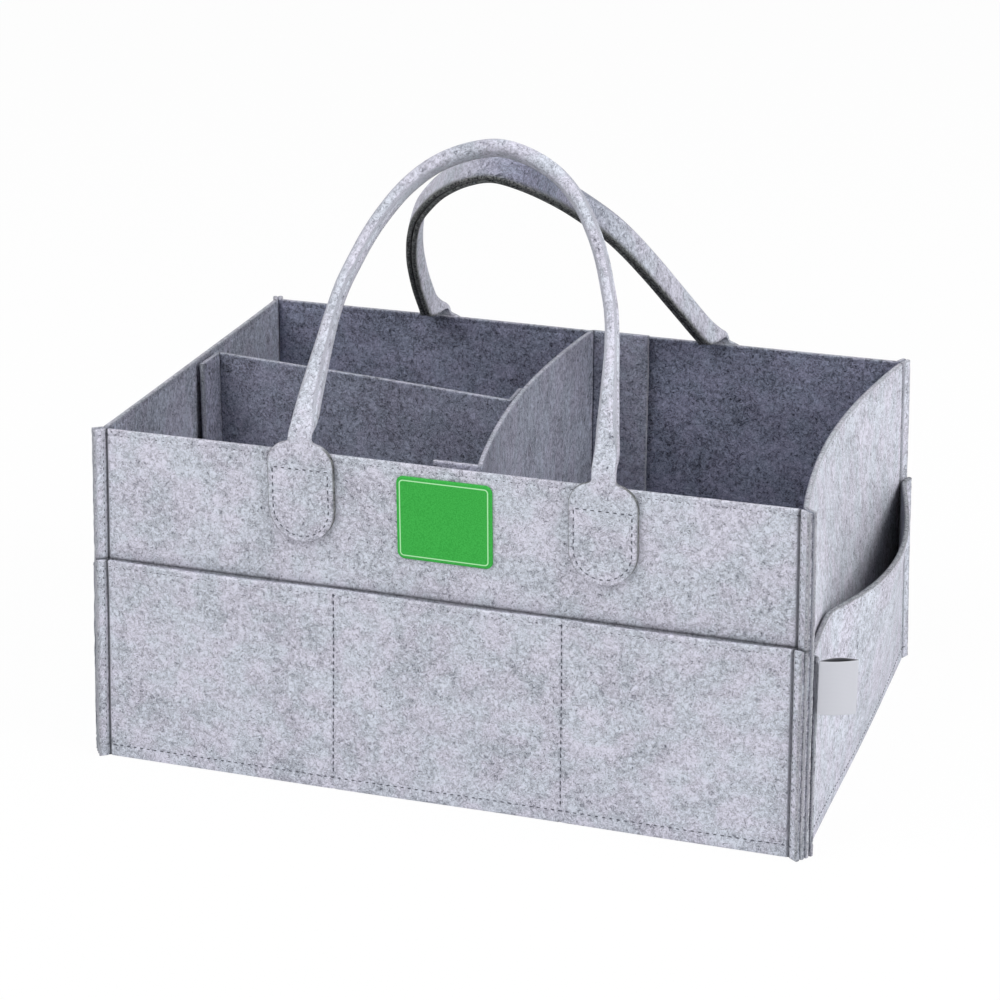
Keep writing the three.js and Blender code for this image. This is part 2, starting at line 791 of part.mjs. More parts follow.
add_upright(caddy, 'cross_divider', felt_look, cross_divider_line(), felt,
  () => divider_bottom, (p) => rim_at(p.y) + cross_divider_rise);

// Line of the long divider's right flap, parallel to the cross divider's left face.
const long_flap_spacing = felt + hook_strip_thickness + 2 * fit_gap;

function beside_cross_divider(y) {
  const ahead = cross_divider_x(y + half_felt);
  const behind = cross_divider_x(y - half_felt);
  const tilt = Math.atan2(ahead - behind, felt);
  return cross_divider_x(y) - long_flap_spacing / Math.cos(tilt);
}

const flap_steps = 4;

function long_divider_line() {
  const points = [
    new THREE.Vector2(long_flap_x, long_divider_left_place - long_left_flap),
    new THREE.Vector2(long_flap_x, long_divider_left_place),
  ];
  for (let i = 0; i <= flap_steps; i += 1) {
    const y = long_divider_right_place + (long_right_flap * i) / flap_steps;
    points.push(new THREE.Vector2(beside_cross_divider(y), y));
  }
  return rounded_line(points, [1, 2], divider_fold_radius);
}

add_upright(caddy, 'long_divider', felt_look, long_divider_line(), felt,
  () => divider_bottom, (p) => rim_at(p.y) - long_divider_drop);

// Hook strips, sewn on the flaps, centred on them and below the rim.
function add_hook_strip(name, line, rim) {
  const top = rim - hook_strip_drop;
  add_upright(caddy, name, hook_look, line, hook_strip_thickness, () => top - hook_strip_height, () => top);
}

const strip_distance = half_felt + fit_gap + hook_strip_thickness / 2;

function flap_strip(fixed, from, to, axis) {
  const middle = (from + to) / 2;
  const half = hook_strip_width / 2;
  return [middle - half, middle + half].map((value) => (
    axis === 'x' ? new THREE.Vector2(value, fixed) : new THREE.Vector2(fixed, value)
  ));
}

const front_flap_end = cross_divider_x(-cross_flap_y) - cross_front_flap;
const rear_flap_end = cross_divider_x(cross_flap_y) + cross_rear_flap;
add_hook_strip('cross_divider_front_hook_strip',
  flap_strip(-cross_flap_y - strip_distance, front_flap_end, cross_divider_front_place, 'x'), front_height);
add_hook_strip('cross_divider_rear_hook_strip',
  flap_strip(cross_flap_y + strip_distance, cross_divider_rear_place, rear_flap_end, 'x'), rear_height);
const long_flap_front = long_divider_left_place - long_left_flap;
add_hook_strip('long_divider_left_hook_strip',
  flap_strip(long_flap_x - strip_distance, long_flap_front, long_divider_left_place, 'y'), rim_at(long_flap_front));

function right_strip_line() {
  const middle = long_divider_right_place + long_right_flap / 2 + divider_fold_radius / 2;
  const half = Math.min(hook_strip_width, long_right_flap - divider_fold_radius) / 2;
  const line = [];
  for (let i = 0; i <= flap_steps; i += 1) {
    const y = middle - half + (2 * half * i) / flap_steps;
    line.push(new THREE.Vector2((beside_cross_divider(y) + cross_divider_x(y)) / 2, y));
  }
  return line;
}

add_hook_strip('long_divider_right_hook_strip', right_strip_line(), rim_at(long_divider_right_place));

// Patch on the front wall.

function rounded_rectangle(width, height, radius) {
  const x = width / 2;
  const y = height / 2;
  const shape = new THREE.Shape();
  shape.moveTo(-x + radius, -y);
  shape.lineTo(x - radius, -y);
  shape.absarc(x - radius, -y + radius, radius, -Math.PI / 2, 0);
  shape.lineTo(x, y - radius);
  shape.absarc(x - radius, y - radius, radius, 0, Math.PI / 2);
  shape.lineTo(-x + radius, y);
  shape.absarc(-x + radius, y - radius, radius, Math.PI / 2, Math.PI);
  shape.lineTo(-x, -y + radius);
  shape.absarc(-x + radius, -y + radius, radius, Math.PI, Math.PI * 1.5);
  return shape;
}

function add_patch() {
  const shape = rounded_rectangle(patch_width, patch_height, patch_radius);
  const geometry = new THREE.ExtrudeGeometry(shape, { depth: patch_thickness, bevelEnabled: false, curveSegments: 5 });
  geometry.rotateX(Math.PI / 2);
  const mesh = add_geometry(caddy, 'front_patch', patch_look, geometry);
  const wall_face = half_depth + wall_out + fit_gap;
  mesh.position.set(patch_place, -wall_face, front_height - patch_drop - patch_height / 2);
}
add_patch();

// Ribbon label that stands out from behind the front right seam.
function add_label() {
  const turn = THREE.MathUtils.degToRad(label_turn_degrees);
  const z = label_top - label_height / 2;
  const along = seam_margin - label_thickness;
  const root = margin_point(sides.right, -1, along, pocket_out + fit_gap, z);
  const geometry = new THREE.BoxGeometry(label_width, label_thickness, label_height);
  geometry.translate(label_width / 2, label_thickness / 2, 0);
  const mesh = add_geometry(caddy, 'side_label', label_look, geometry);
  mesh.rotation.z = turn;
  mesh.position.copy(root);
}
add_label();

export default caddy;
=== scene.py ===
# %% [markdown]
# # A felt caddy for diapers
#
# The caddy is cut from one kind of grey felt, about 3 mm thick, and sewn with
# dark thread. This lesson dresses the plain solids of the CAD model: each felt
# panel becomes a soft sheet with round edges, each seam gets its own stitches,
# and the materials are worked out from noise, so no picture is needed.
#
# The imported model comes first. It is the fixed frame, and its box is kept.

import bpy
import numpy as np
from mathutils import Matrix


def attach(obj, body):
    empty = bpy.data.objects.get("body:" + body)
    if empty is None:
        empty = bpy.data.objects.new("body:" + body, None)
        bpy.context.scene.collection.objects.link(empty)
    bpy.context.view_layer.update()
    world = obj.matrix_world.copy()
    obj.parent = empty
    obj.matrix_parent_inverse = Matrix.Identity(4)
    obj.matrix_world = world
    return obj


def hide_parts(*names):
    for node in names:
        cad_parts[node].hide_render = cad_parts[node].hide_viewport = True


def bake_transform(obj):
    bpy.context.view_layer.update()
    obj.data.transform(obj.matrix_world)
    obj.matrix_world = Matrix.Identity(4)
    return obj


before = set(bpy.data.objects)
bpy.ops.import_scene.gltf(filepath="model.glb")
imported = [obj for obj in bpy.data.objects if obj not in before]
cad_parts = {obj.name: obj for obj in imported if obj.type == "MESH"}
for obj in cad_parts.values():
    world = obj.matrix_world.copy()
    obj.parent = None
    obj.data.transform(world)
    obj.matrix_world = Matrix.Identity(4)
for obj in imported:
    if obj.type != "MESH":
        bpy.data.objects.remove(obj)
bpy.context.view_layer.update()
print("CAD nodes:", len(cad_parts))

# %% [markdown]
# ## Sizes
#
# Every length below is in millimetres, as on the maker's drawing, and is turned
# into Blender's metres once, where a mesh is made. X runs along the box, -Y is
# the front and Z is up.

# %% Sizes of the box and its felt
MM = 0.001
FELT = 2.8
GAP = 0.3
BOX_WIDTH, BOX_DEPTH = 383.0, 254.0
FRONT_HEIGHT, REAR_HEIGHT = 187.0, 179.0
END_LEANS = {1: (3.0, 5.5), -1: (7.0, 1.0)}
END_BOWS = {1: 10.5, -1: 1.0}
SEAM_MARGIN = 8.0
FRONT_TURN, REAR_TURN = np.radians(35.0), np.radians(66.0)
BASE_SEAM_HEIGHT = 7.0
LONG_POCKET_HEIGHT, END_POCKET_HEIGHT = 115.0, 110.0
END_POCKET_BULGE, LONG_POCKET_SLACK = 18.0, 1.5
POCKET_ROW_SHARES = (0.345, 0.678)

HALF_DEPTH = BOX_DEPTH / 2 - FELT - GAP / 2
WALL_MIDDLE = GAP / 2 + FELT / 2
POCKET_MIDDLE = WALL_MIDDLE + GAP + FELT
BASE_TOP = BASE_SEAM_HEIGHT + FELT


def mix(a, b, share):
    """The value a share of the way from a to b."""
    return a + (b - a) * share


def smooth(t):
    """0 below 0, 1 above 1, and an even curve between them."""
    t = np.clip(t, 0.0, 1.0)
    return t * t * (3 - 2 * t)


def unit(v):
    """Vectors of length 1 along the last axis."""
    return v / np.maximum(np.linalg.norm(v, axis=-1, keepdims=True), 1e-9)


def zipped(*parts):
    """Numbers and arrays side by side along a new last axis, such as the coordinates of points."""
    return np.stack(np.broadcast_arrays(*parts), -1)


# %% [markdown]
# ## Materials as sums
#
# A felt or a thread is a small recipe of noises. Shader nodes can be wired one
# by one, but a recipe reads better as arithmetic. The class below wraps a node's
# socket, and each sum, difference or product of two of them adds a Math node.

# %% Sockets that can be added and multiplied
class Signal:
    """A node's output that can stand in arithmetic with numbers and other signals."""

    def __init__(self, board, socket):
        self.board = board
        self.socket = socket

    def math(self, operation, first, second=0.0):
        return self.board.add("ShaderNodeMath", {"operation": operation}, {0: first, 1: second})

    def __add__(self, other):
        return self.math("ADD", self, other)

    def __sub__(self, other):
        return self.math("SUBTRACT", self, other)

    def __rsub__(self, other):
        return self.math("SUBTRACT", other, self)

    def __mul__(self, other):
        return self.math("MULTIPLY", self, other)

    def between(self, low, high):
        """0 where the signal is below low, 1 above high, and a smooth step between them."""
        return self.board.add(
            "ShaderNodeMapRange",
            {"interpolation_type": "SMOOTHSTEP"},
            {"Value": self, "From Min": low, "From Max": high},
        )

    def __abs__(self):
        return self.math("ABSOLUTE", self)

    __radd__ = __add__
    __rmul__ = __mul__


class Board:
    """The nodes of one material, which starts with a surface shader and the place in millimetres."""

    def __init__(self, name):
        self.material = bpy.data.materials.new(name)
        self.material.use_nodes = True
        self.tree = self.material.node_tree
        self.shader = self.tree.nodes["Principled BSDF"]
        coordinates = self.add("ShaderNodeTexCoord", output="Object")
        self.place = self.vector("SCALE", coordinates, 1 / MM)

    def add(self, kind, settings=None, sockets=None, output=0):
        """A new node: its settings first, then its sockets' values or links. Returns one output."""
        node = self.tree.nodes.new(kind)
        for name, value in (settings or {}).items():
            setattr(node, name, value)
        for name, value in (sockets or {}).items():
            self.feed(node.inputs[name], value)
        return Signal(self, node.outputs[output])

    def feed(self, socket, value):
        if isinstance(value, Signal):
            self.tree.links.new(value.socket, socket)
        else:
            socket.default_value = value

    def noise(self, scale, detail=2.0, roughness=0.5, at=None, output="Fac"):
        """Noise whose lumps are about 1 / scale millimetres wide."""
        sockets = {"Vector": at or self.place, "Scale": scale, "Detail": detail, "Roughness": roughness}
        return self.add("ShaderNodeTexNoise", None, sockets, output)

    def vector(self, operation, first, second):
        """Arithmetic on places. SCALE takes a number as its second value, the others a place."""
        second_name = "Scale" if operation == "SCALE" else 1
        return self.add("ShaderNodeVectorMath", {"operation": operation}, {0: first, second_name: second})

    def blend(self, share, first, second, kind="MIX"):
        """One colour turning into another, or with MULTIPLY into the product of both."""
        settings = {"data_type": "RGBA", "blend_type": kind}
        return self.add("ShaderNodeMix", settings, {0: share, 6: first, 7: second}, 2)

    def attribute(self, name):
        """A number kept at each vertex."""
        return self.add("ShaderNodeAttribute", {"attribute_name": name}, None, "Fac")

    def bump(self, height, depth, strength=1.0):
        """Surface relief from a height of 0 to 1 that stands depth millimetres tall."""
        sockets = {"Strength": strength, "Distance": depth * MM, "Height": height}
        return self.add("ShaderNodeBump", None, sockets)

    def finish(self, **values):
        """Values and links of the surface shader, by name with _ for a space."""
        for name, value in values.items():
            self.feed(self.shader.inputs[name.replace("_", " ")], value)
        return self.material


def paint(red, green, blue):
    """A colour as it shows on a screen, 0 to 255, in the linear numbers that shaders use."""
    s = np.array([red, green, blue]) / 255
    linear = np.where(s <= 0.04045, s / 12.92, ((s + 0.055) / 1.055) ** 2.4)
    return (*linear.tolist(), 1.0)


# %% [markdown]
# ## Felt
#
# The felt is pressed from pale and dark fibres, so from close by it is a mottle
# of light hairs and dark flecks, and its faces are matt and a little fuzzy. A
# first noise bends the place, which curls the fibres of the finer noises. Faces
# that look sideways are cut with the fibres upright, so their noise is drawn out
# along Z. The dark hairs are thin lines where one noise passes through its middle
# value, and another noise cuts them into short curls. The mottle then picks
# between a pale and a dark fibre colour. Three numbers kept at the vertices change
# it. "inside" is painted shade: it darkens the mottle and swaps in darker fibre
# colours on the faces inside the box and on other shaded faces. "raw" is for the
# cut edges, where the speckled core of the felt shows. "crease" is a painted
# shadow for slits and other places that get no light.

# %% Felt material
def felt_material():
    board = Board("heather_felt")
    normal = board.add("ShaderNodeTexCoord", output="Normal")
    sideways = abs(board.add("ShaderNodeSeparateXYZ", None, {0: normal}, "X")).between(0.5, 0.85)
    stretch = board.add("ShaderNodeCombineXYZ", None, {0: 1.0, 1: 1.0, 2: 1 - sideways * 0.45})
    curl = board.noise(0.3, 2.0, output="Color")
    bent = board.vector("ADD", board.place, board.vector("SCALE", curl, 5.0))
    curled = board.vector("MULTIPLY", bent, stretch)
    cloud = board.noise(0.035, 2.0)
    tuft = board.noise(0.2, 3.0, 0.6, curled)
    fibre = board.noise(0.55, 3.0, 0.7, curled)
    fine = board.noise(1.3, 2.0, 0.7, curled)
    path = board.noise(0.42, 2.0, 0.5, curled)

    hair = 1 - abs(path - 0.5).between(0.0, 0.05)
    fleck = hair * fine.between(0.45, 0.6)
    # inside is painted shade: it darkens the mottle and swaps in the darker shaded fibre colours
    inside, raw = board.attribute("inside"), board.attribute("raw")
    mottle = 0.79 + (cloud - 0.5) * 0.5 + (tuft - 0.5) * 0.7 + (fibre - 0.5) * 1.7
    mottle = mottle + (fine - 0.5) * 1.6 - fleck * 0.8 - inside * 0.21
    pale = board.blend(inside, paint(*PALE_FIBRE), paint(*PALE_SHADED_FIBRE))
    dark = board.blend(inside, paint(*DARK_FIBRE), paint(*DARK_SHADED_FIBRE))
    speckle = (fibre * 0.6 + fine * 0.4).between(0.43, 0.57)
    core = board.blend(speckle, paint(*DARK_CORE), paint(*PALE_CORE))
    colour = board.blend(raw, board.blend(mottle, dark, pale), core)
    colour = board.blend(board.attribute("crease"), colour, paint(*CREASE))
    hue = board.noise(0.07, 1.0, at=curled).between(0.35, 0.65)
    tint = board.blend(hue, (0.965, 1.0, 1.0, 1.0), (1.0, 0.975, 1.0, 1.0))
    colour = board.blend(1.0, colour, tint, "MULTIPLY")
    relief = fibre * 0.6 + fine * 0.4 + tuft * 0.4 - fleck * 0.3
    return board.finish(
        Base_Color=colour,
        Roughness=0.95,
        Specular_IOR_Level=0.15,
        Sheen_Weight=0.15,
        Sheen_Roughness=0.6,
        Normal=board.bump(relief, 0.9, 0.7),
    )


PALE_FIBRE, DARK_FIBRE = (218, 219, 230), (80, 81, 92)
# Fibre colours of painted shade, used where the inside attribute is 1
PALE_SHADED_FIBRE, DARK_SHADED_FIBRE = (166, 170, 194), (26, 28, 39)
PALE_CORE, DARK_CORE = (132, 134, 132), (28, 29, 31)
CREASE = (26, 27, 33)
FELT_LOOK = felt_material()

# %% [markdown]
# ## Thread, patch, label and hook tape
#
# The seams are sewn with dark grey thread. The patch is smooth green cloth with
# a thin printed line inside its edge, and the label is a white satin ribbon with
# fine cross ribs. Both are left blank. The hook tape is a field of tiny hooks,
# which reads as dots from a hand's length away.

# %% Thread material
def thread_material():
    board = Board("sewing_thread")
    twist = board.noise(3.0, 2.0, 0.6)
    colour = board.blend(twist.between(0.3, 0.7), paint(58, 60, 68), paint(104, 106, 116))
    return board.finish(
        Base_Color=colour, Roughness=0.75, Specular_IOR_Level=0.25, Normal=board.bump(twist, 0.15, 0.5)
    )


THREAD_LOOK = thread_material()


# %% Hook tape material
def hook_material():
    board = Board("hook_tape")
    cells = board.add(
        "ShaderNodeTexVoronoi", {"feature": "F1"}, {"Vector": board.place, "Scale": 0.9, "Randomness": 0.35}
    )
    hook = 1 - cells.between(0.1, 0.45)
    colour = board.blend(hook, paint(74, 76, 84), paint(126, 128, 138))
    return board.finish(Base_Color=colour, Roughness=0.6, Normal=board.bump(hook, 0.5, 0.8))


HOOK_LOOK = hook_material()

# %% [markdown]
# ## Meshes from grids
#
# A felt sheet is a surface of two parameters: s runs along it and v up it, both
# in millimetres. The sheet's middle surface comes from a formula. Moving each
# point along the normal by half the thickness, to both sides, gives the two
# faces, and the thickness shrinks to nothing over the last millimetre, which
# closes the sheet with a soft round edge. A Solidify modifier could do the
# thickness, but not this edge.

# %% Mesh helpers
def make_mesh(name, points, faces, look, values=None):
    """A smooth mesh from points in millimetres, (..., 3), and arrays of faces, one row of vertex numbers
    each. Values are kept at its vertices. The felt's slow waves move every point."""
    mesh = bpy.data.meshes.new(name)
    places = drift(points.reshape(-1, 3)) * MM
    sizes = np.concatenate([np.full(len(part), part.shape[1]) for part in faces])
    mesh.vertices.add(len(places))
    mesh.vertices.foreach_set("co", places.astype(np.float32).ravel())
    mesh.loops.add(int(sizes.sum()))
    mesh.loops.foreach_set("vertex_index", np.concatenate([part.ravel() for part in faces]).astype(np.int32))
    mesh.polygons.add(len(sizes))
    mesh.polygons.foreach_set("loop_start", (np.cumsum(sizes) - sizes).astype(np.int32))
    mesh.update(calc_edges=True)
    mesh.shade_smooth()
    for key, value in (values or {}).items():
        numbers = mesh.attributes.new(key, "FLOAT", "POINT").data
        numbers.foreach_set("value", value.astype(np.float32).ravel())
    mesh.materials.append(look)
    piece = bpy.data.objects.new(name, mesh)
    bpy.context.collection.objects.link(piece)
    return piece


def drift(points):
    """The felt is never quite flat: slow waves of half a millimetre, which fade above the rim."""
    x, y, z = np.moveaxis(points, -1, 0)
    fade = np.clip((230 - z) / 40, 0, 1)
    moved = points.copy()
    moved[..., 0] += fade * (0.3 * np.sin(y / 41 + z / 53 + 1.3) + 0.15 * np.sin(z / 29 + y / 67))
    moved[..., 1] += fade * (0.35 * np.sin(x / 47 + z / 61 + 0.4) + 0.15 * np.sin(x / 23 + z / 37))
    return moved


def grid_quads(index):
    """Quads between the rows and columns of a grid of vertex numbers."""
    return zipped(index[:-1, :-1], index[:-1, 1:], index[1:, 1:], index[1:, :-1]).reshape(-1, 4)


def ring_quads(index):
    """Quads between rings of vertex numbers, one ring a row."""
    return grid_quads(np.concatenate([index, index[:, :1]], 1))


def ring_cap(ring):
    """Quads that close a flat ring of vertex numbers, each from one side of it across to the other."""
    count = len(ring)
    near = np.arange(count // 2 - 1)
    return ring[zipped(near, near + 1, count - 2 - near, count - 1 - near)]


LONGEST_FRAY = 0.6  # how far a cut edge falls short at most
FULL_ENOUGH = 0.3  # least half thickness at which a sheet can be pinched
EDGE_MARKS = np.array([0.0, 0.07, 0.25, 0.6, 1.1, 2.0])
GROOVE_MARKS = np.array([-2.2, -1.3, -0.6, 0.0, 0.6, 1.3, 2.2])


def marks(length, step, grooves=()):
    """Places along a length: even steps, and closer ones at its two round edges and round each groove."""
    even = np.linspace(0, length, max(2, int(length / step)) + 1)
    close = [place + GROOVE_MARKS for place in grooves]
    all_marks = np.unique(np.concatenate([even, EDGE_MARKS, length - EDGE_MARKS, *close]).round(3))
    all_marks = all_marks[(all_marks >= 0) & (all_marks <= length)]
    keep = np.concatenate([[True], np.diff(all_marks) > 0.05])
    return all_marks[keep]


def round_edge(s, length, radius=1.0):
    """Share of the full thickness at s: a round that opens from 0 at each end of the length."""
    reach = np.clip(np.minimum(s, length - s) / radius, 0, 1)
    return (1 - (1 - reach) ** 3) ** (1 / 3)


def groove(s, places, depth=0.35, width=0.9):
    """Depth that sewn rows press into the felt: a bell curve round each row."""
    return sum((depth * np.exp(-(((s - place) / width) ** 2)) for place in places), 0 * s)


def along_line(line):
    """Length of a line of points (n, k), and a function that tells the line's own place, or other values
    kept at its points, at a distance along it."""
    run = np.concatenate([[0], np.cumsum(np.linalg.norm(np.diff(line, axis=0), axis=1))])

    def at(s, values=line):
        return zipped(*(np.interp(s, run, column) for column in values.T))

    return run[-1], at


def face_points(surface, s, v, lift):
    """Points at a height over a sheet's middle surface, and the directions away from it."""
    reach = 0.4
    along = surface(s + reach, v) - surface(s - reach, v)
    up = surface(s, v + reach) - surface(s, v - reach)
    out = unit(np.cross(along, up))
    return surface(s, v) + out * lift, out


def frayed(count, seed):
    """How far a cut edge falls short at each of its rows: random lengths, each averaged with its
    neighbours."""
    lengths = np.random.default_rng(seed).uniform(0, LONGEST_FRAY, count + 2)
    return np.convolve(lengths, [0.25, 0.5, 0.25], "valid")


def felt_sheet(name, surface, length, height, look=FELT_LOOK, slot="felt", thickness=FELT,
               step=(4.0, 2.0), rows=(), columns=(), pinches=(), front=0.0, back=0.0, raw=0.0, rim_raw=0.0,
               pressed=(), fins=0.0, unlit=0.0):
    """A closed sheet round a middle surface. rows and columns are sewn lines, and pinches are folds
    (place, face) whose hollow side closes to a slit with a painted shadow in it. front and back say
    how far painted shade darkens each face, and raw and rim_raw how far the end edges and the rim show
    the core. pressed holds heights where the edge of another sheet lies on this one, and a painted
    shadow line runs along each. fins is the width at both ends where the back swells up to the
    neighbouring sheet, and unlit is how far painted shadow darkens the back."""
    s = marks(length, step[0], (*columns, *(place for place, _ in pinches)))
    v = marks(height, step[1], (*rows, *pressed))
    grid_s, grid_v = np.meshgrid(s, v)
    from_end = np.minimum(grid_s, length - grid_s)
    placed_s = grid_s
    if raw:
        shares = [np.clip(1 - end / 3, 0, 1) ** 2 for end in (grid_s, length - grid_s)]
        short = [frayed(len(v), seed + len(name))[:, None] for seed in (1, 2)]
        placed_s = grid_s + shares[0] * short[0] - shares[1] * short[1]
    middle, out = face_points(surface, placed_s, grid_v, 0.0)
    half = thickness / 2 * round_edge(grid_s, length) * round_edge(grid_v, height)
    press = np.minimum(groove(grid_v, rows, 0.2) + groove(grid_s, columns, 0.6, 0.8), half * 0.6)
    pinched = {face: [place for place, side in pinches if side == face] for face in (1, -1)}
    full = half > FULL_ENOUGH
    deep = {face: groove(grid_s, places, 1.2, 0.7) * full for face, places in pinched.items()}
    meet = (GAP / 2 + 0.03) * full * (1 - smooth((from_end - fins) / 1.5)) * (fins > 0)
    faces = [
        middle + out * (half - press - deep[1])[..., None],
        middle - out * (half + meet - press * (meet == 0) - deep[-1])[..., None],
    ]
    index = np.arange(middle[..., 0].size).reshape(middle.shape[:2])
    rim = np.ones(index.shape, bool)
    rim[1:-1, 1:-1] = False
    other = np.where(rim, index, 0)
    other[~rim] = index.size + np.arange((~rim).sum())
    points = np.concatenate([faces[0].reshape(-1, 3), faces[1][~rim]])
    # Painted shade fades out over the last 2 mm at every edge, so the rims keep the lit colour.
    shade = round_edge(grid_s, length, 2.0) * round_edge(grid_v, height, 2.0)
    end_edge = 1 - smooth((from_end - 0.6) / 1.2)
    top_edge = 1 - smooth((height - grid_v - 0.5) / 0.9)
    cut = np.maximum(raw * end_edge, rim_raw * top_edge)
    # Painted shadow: the dark crease colour in each pinched slit and in a line along each pressed height.
    slit = {face: groove(grid_s, places, 1.0, 0.8) for face, places in pinched.items()}
    slit[1] = np.maximum(slit[1], groove(grid_v, pressed, 1.0, 0.8))
    values = {
        "inside": (front * shade, back * shade),
        "raw": (cut, cut),
        "crease": (0.75 * slit[1], 0.75 * slit[-1] + unlit * shade),
    }
    return make_mesh(
        name, points, [grid_quads(index), grid_quads(other)[:, ::-1]], look,
        {key: np.concatenate([first.ravel(), second[~rim]]) for key, (first, second) in values.items()},
    )


# %% [markdown]
# ## Stitches
#
# A row of sewing is a line of short thread bridges that dive into the felt at
# both ends. One bridge is a bent six-sided tube of five spans. It is repeated
# along each seam by laying a copy over every pitch of the line, all at once as
# arrays. A curve with an Array modifier would also do it, but would not turn to
# the felt's own face at each place.

# %% A stitch and a row of them
STITCH_PITCH = 3.9
STITCH_LENGTH = 2.3
STITCH_REACH = 1.2
THREAD_RADIUS = 0.3


def stitch_tube():
    """Points (rings, 6, 3) of one stitch: along it, across it and out of the felt."""
    place = np.array([-1.0, -0.8, -0.35, 0.35, 0.8, 1.0])
    rise = 0.5 * (1 - np.abs(place) ** 2.5) - 0.3
    size = THREAD_RADIUS * np.array([0.5, 0.9, 1.0, 1.0, 0.9, 0.5])
    turn = np.arange(6) / 6 * 2 * np.pi
    along = np.repeat(place[:, None] * STITCH_LENGTH / 2, 6, 1)
    return zipped(along, size[:, None] * np.cos(turn), rise[:, None] + size[:, None] * np.sin(turn))


def stitch_quads():
    """Faces of one stitch: its spans, and two quads over each end."""
    ends = [[0, 5, 4, 3], [0, 3, 2, 1], [30, 31, 32, 33], [30, 33, 34, 35]]
    return np.concatenate([ring_quads(np.arange(36).reshape(6, 6)), np.array(ends)])


TUBE = stitch_tube().reshape(-1, 3)
TUBE_QUADS = stitch_quads()


def square_to(vectors, along):
    """The part of vectors that stands square to unit vectors along, at length 1."""
    return unit(vectors - along * (vectors * along).sum(-1, keepdims=True))


def row_points(path, out):
    """Stitch points for a seam line (n, 3) with the felt's outward directions (n, 3)."""
    length, at = along_line(path)
    count = max(1, int(round(length / STITCH_PITCH)))
    centre = (np.arange(count) + 0.5) * length / count
    along = unit(at(np.minimum(centre + STITCH_REACH, length)) - at(np.maximum(centre - STITCH_REACH, 0)))
    outward = square_to(at(centre, out), along)
    axes = np.stack([along, np.cross(outward, along), outward], 1)
    return at(centre)[:, None, :] + TUBE[None] @ axes


def sew(node, rows, body="shell"):
    """All the rows of one seam, each a (path, out), as one mesh of stitches. It stands for a thread of
    the CAD model, or is new where no node has its name."""
    points = np.concatenate([row_points(*row) for row in rows])
    first = np.arange(len(points)) * len(TUBE)
    quads = (TUBE_QUADS[None] + first[:, None, None]).reshape(-1, 4)
    piece = make_mesh(f"{node}_stitches", points, [quads], THREAD_LOOK)
    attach(piece, body)
    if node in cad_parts:
        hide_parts(node)


# %% [markdown]
# ## The four sides
#
# Each side of the box is one wall panel with a pocket panel sewn on its outside,
# and both end in raw margins that stand out at the corners, where the next side's
# margins meet them. In plan a panel is a line of three straight stretches. The
# soft bend between them comes from averaging the line with its own neighbours,
# a few millimetres each way, which turns a corner into a smooth curve.

# %% Plan of a side
def half_width(z, end, depth_share):
    """Distance from the middle to the inside of an end wall, which leans in towards the rim."""
    lean = mix(*END_LEANS[end], depth_share)
    return BOX_WIDTH / 2 - FELT - GAP / 2 - lean * z / FRONT_HEIGHT


def rim_height(share):
    """Height of the rim from the front corner (0) to the rear one (1)."""
    return mix(FRONT_HEIGHT, REAR_HEIGHT, share)


def side_depth(z, _):
    """Distance from the middle to the inside of the front or rear wall."""
    return HALF_DEPTH + 0 * z


QUARTER = np.pi / 2
REAR_ROW_SHARES = tuple(sorted(1 - share for share in POCKET_ROW_SHARES))
# inside is how strongly painted shade darkens a wall's inner face; the left wall's gets less.
SIDES = {
    "front": {
        "run": lambda z, end: half_width(z, end, 0),
        "out": side_depth,
        "turns": (FRONT_TURN, FRONT_TURN),
        "place": lambda p, q, z: zipped(p, -q, z),
        "top": lambda share: FRONT_HEIGHT + 0 * share,
        "pocket": LONG_POCKET_HEIGHT, "rows": POCKET_ROW_SHARES, "cores": (0.05, 0.05), "inside": 1.0,
    },
    "rear": {
        "run": lambda z, end: half_width(z, -end, 1),
        "out": side_depth,
        "turns": (REAR_TURN, REAR_TURN),
        "place": lambda p, q, z: zipped(-p, q, z),
        "top": lambda share: REAR_HEIGHT + 0 * share,
        "pocket": LONG_POCKET_HEIGHT, "rows": REAR_ROW_SHARES, "cores": (0.25, 0.3), "inside": 1.0,
    },
    "right": {
        "run": side_depth,
        "out": lambda z, share: half_width(z, 1, share),
        "turns": (QUARTER - FRONT_TURN, QUARTER - REAR_TURN),
        "place": lambda p, q, z: zipped(q, p, z),
        "top": rim_height,
        "pocket": END_POCKET_HEIGHT, "rows": (), "cores": (0.3, 0.6), "inside": 1.0,
    },
    "left": {
        "run": side_depth,
        "out": lambda z, share: half_width(z, -1, 1 - share),
        "turns": (QUARTER - REAR_TURN, QUARTER - FRONT_TURN),
        "place": lambda p, q, z: zipped(-q, -p, z),
        "top": lambda share: rim_height(1 - share),
        "pocket": END_POCKET_HEIGHT, "rows": (), "cores": (0.3, 0.5), "inside": 0.62,
    },
}
BEND = 2.2
EASE_SHIFTS = np.linspace(-1, 1, 9)


def margin_point(side, end, along, offset, z):
    """A point on the margin at one end (1 or -1): along goes out from the corner, offset from the box."""
    turn = side["turns"][0 if end < 0 else 1]
    p = side["run"](z, end) + along * np.cos(turn) - offset * np.sin(turn)
    q = side["out"](z, (end + 1) / 2) + along * np.sin(turn) + offset * np.cos(turn)
    return side["place"](end * p, q, z)


